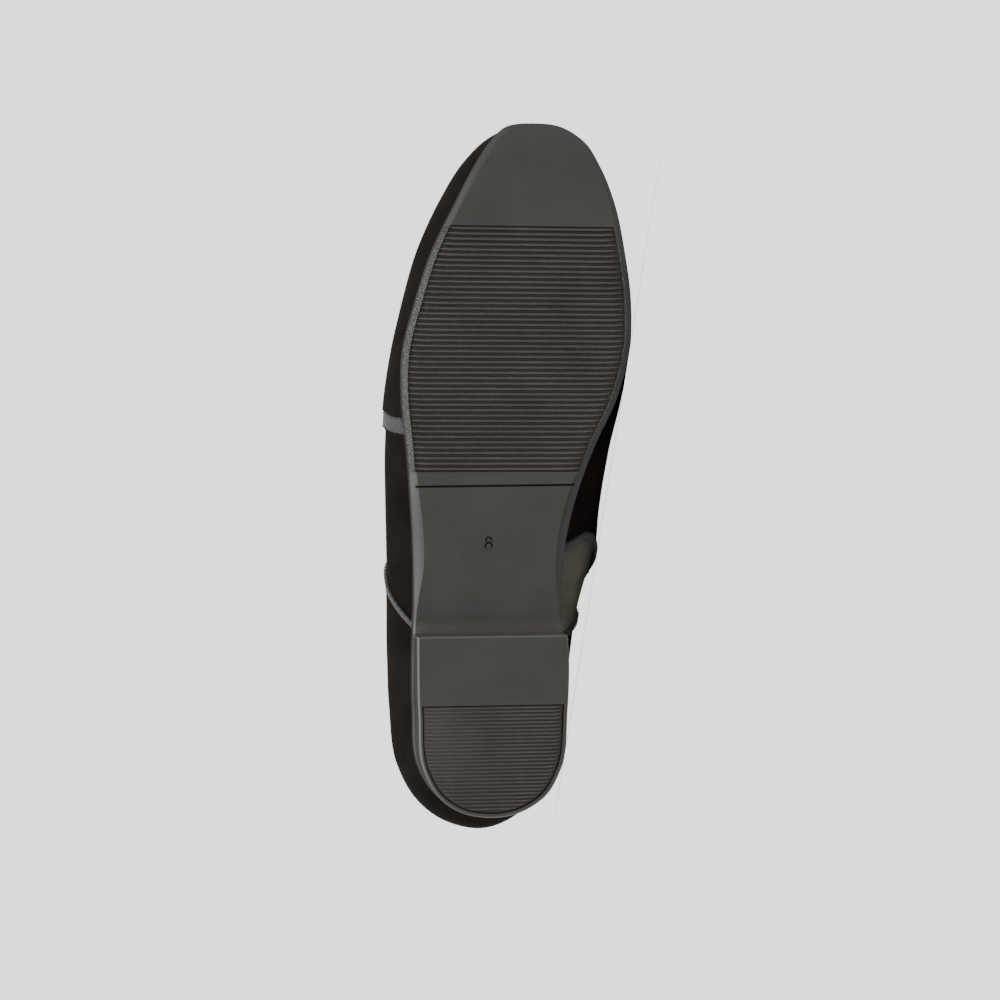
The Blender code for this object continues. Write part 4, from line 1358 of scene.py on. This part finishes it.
def collarFrame(t):
    # middle of the rim, outward and upward directions at places along the topline
    top = topPoint(t)
    normal = wallNormal(t, np.ones_like(t))
    ends = fromHeel(t) > last["throat"] - tiny
    run = topPoint(t + tiny) - topPoint(t - tiny)
    throatRun = topPoint(2.0 - last["throat"] + tiny) - topPoint(last["throat"] - tiny)
    run = np.where(ends[:, None], throatRun, run)
    away = unit(np.cross(normal, run))
    return top - 0.5 * upper["wall"] * normal, normal, away


def collarSection(spread):
    # from the outer leg's foot over the rolled top to the inner leg's foot
    half = 0.5 * upper["wall"] + collar["lip"]
    turn = np.linspace(0, math.pi, 13)
    legs = [(half, -collar["leg"]), (half, -collar["leg"] * 0.5)]
    roll = [(half * math.cos(a), collar["rise"] * math.sin(a) ** 0.8) for a in turn]
    legs2 = [(-half, -collar["leg"] * 0.5), (-half, -collar["leg"])]
    section = np.array(legs + roll + legs2)
    section[:, 0] *= 1 + spread / half
    section[:, 1] += np.where(section[:, 1] > 0, spread, 0)
    return section


def makeCollar():
    half = last["throat"]
    t = np.linspace(-half, half, collar["places"], endpoint=False) % 2.0
    middle, normal, away = collarFrame(t)
    outer = collarSection(0.0)
    hollow = collarSection(-0.0005)[::-1]
    section = np.concatenate([outer, hollow])

    def place(section, k):
        return (middle[k][:, None] + section[None, :, :1] * normal[k][:, None]
                + section[None, :, 1:] * away[k][:, None])

    every = np.arange(len(t))
    points = place(section, every)
    numbers = np.arange(points[..., 0].size).reshape(points.shape[:2])
    grid = np.concatenate([numbers, numbers[:, :1]], axis=1)
    piece = newPiece("collar_binding", points.reshape(-1, 3), gridFaces(grid, wrap=True), sharp=60)
    # the collar's body under its ribs takes the darker base, painted shade between the ribs
    piece.data.materials.append(grosgrainBasePaintedShade)
    foot = middle + (0.5 * upper["wall"] + collar["lip"] + 0.0001) * normal
    seamLines.append(foot - (collar["leg"] - 0.0006) * away)
    line = topPoint(t)
    run = runAlong(line)
    count = int(run[-1] / collar["ribPitch"])
    spots = np.interp(np.linspace(0, run[-1], count), run, np.linspace(-half, half, len(t))) % 2.0
    middle, normal, away = collarFrame(spots)
    rods = place(collarSection(-0.00008), np.arange(count))
    guides = [(row, np.ones(len(row))) for row in rods]
    layRibs(piece, guides, grosgrain, trims["ribRadius"], 5, 0.00006, 500.0)
    finish(piece, "collar_binding")


stitching = {"pitch": 0.0024, "length": 0.0018, "radius": 0.00021}


def makeStitches(name, lines):
    points, edges = [], []
    for line in lines:
        edges += [(len(points) + k, len(points) + k + 1) for k in range(len(line) - 1)]
        points += [tuple(p) for p in line]
    mesh = bpy.data.meshes.new(name)
    mesh.from_pydata(points, edges, [])
    piece = newThing(name, mesh)
    runTree(piece, stitches, {"Pitch": stitching["pitch"], "Length": stitching["length"],
                              "Radius": stitching["radius"], "Material": thread})
    finish(piece)


seamLines = []
overPanel = upper["panelStep"] - last["gap"]
overGore = upper["goreStep"] - 2 * last["gap"] - trims["goreThickness"]
makeGore()
ribbon("vamp_binding_lateral", "lateralVamp", last["gap"], -trims["bandWidth"],
       overPanel, trims["bandThickness"])
ribbon("vamp_binding_medial", "medialVamp", last["gap"], trims["edgeWidth"],
       overGore, trims["edgeThickness"], trims["roll"])
ribbon("quarter_binding_lateral", "lateralQuarter", last["gap"], trims["edgeWidth"],
       overPanel, trims["edgeThickness"])
ribbon("quarter_binding_medial", "medialQuarter", last["gap"], -trims["edgeWidth"],
       overGore, trims["edgeThickness"])
makeCollar()
makeStitches("binding_stitches", seamLines)
print("trims done")


# Stage

stage = {
    "distance": 0.90,
    "cameraHeight": 0.0015,
    "target": (-0.002425, 0.120, 0.0),
    "frameWidth": 0.375,
    "floorSize": 12.0,
    "floorTone": 0.45,
    "backdrop": 2.0,
    "glow": 0.35,  # strength of the backdrop as it lights the shoe
    "lights": (  # way from the shoe to the light, angle in degrees, strength
        ("keyLight", (-0.10, -0.27, 0.96), 24, 8.0),
        ("frontLight", (-0.18, -0.83, 0.52), 48, 7.8),
        ("toeLight", (0.45, -0.73, 0.51), 20, 1.6),
        ("rimLight", (0.86, -0.48, 0.16), 12, 1.6),
        ("fillLight", (0.05, -0.998, 0.06), 20, 0.9),
    ),
}


def makeCamera():
    data = bpy.data.cameras.new("camera")
    data.clip_start = 0.001
    data.clip_end = 1000.0
    camera = newThing("camera", data)
    target = shoeToFloor @ Vector(stage["target"])
    soleOut = -(shoeToFloor.to_3x3() @ Vector((0, 0, 1)))
    level = Vector((soleOut.x, soleOut.y, 0)).normalized()
    place = target + level * stage["distance"]
    place.z = stage["cameraHeight"]
    back = (place - target).normalized()
    toe = shoeToFloor.to_3x3() @ Vector((0, 1, 0))
    right = toe.cross(back).normalized()
    up = back.cross(right)
    camera.matrix_world = Matrix.Translation(place) @ Matrix((right, up, back)).transposed().to_4x4()
    data.sensor_width = 36.0
    data.lens = data.sensor_width * (place - target).length / stage["frameWidth"]
    bpy.context.scene.camera = camera


def sunLight(name, way, angle, strength):
    data = bpy.data.lights.new(name, "SUN")
    data.angle = math.radians(angle)
    data.energy = strength
    light = newThing(name, data)
    light.rotation_euler = Vector(way).to_track_quat("Z", "Y").to_euler()


def makeStage():
    size = stage["floorSize"] / 2
    floor = newPiece("floor", [(-size, -size, 0), (size, -size, 0), (size, size, 0), (-size, size, 0)],
                     [(0, 1, 2, 3)], weld=None)
    look, tree, shader = newLook("paleFloor", 0.9, **{"Base Color": (*[stage["floorTone"]] * 3, 1.0),
                                                     "Specular IOR Level": 0.0})
    floor.data.materials.append(look)
    world = bpy.data.worlds.new("studio")
    world.use_nodes = True
    backdrop = world.node_tree.nodes["Background"]
    seen = node(world.node_tree, "ShaderNodeLightPath")
    strength = node(world.node_tree, "ShaderNodeMapRange",
                    {"Value": seen.outputs["Is Camera Ray"], "To Min": stage["glow"],
                     "To Max": stage["backdrop"]})
    world.node_tree.links.new(strength.outputs["Result"], backdrop.inputs["Strength"])
    backdrop.inputs["Color"].default_value = (1.0, 1.0, 1.0, 1.0)
    bpy.context.scene.world = world
    for light in stage["lights"]:
        sunLight(*light)


makeCamera()
makeStage()
print("stage done")
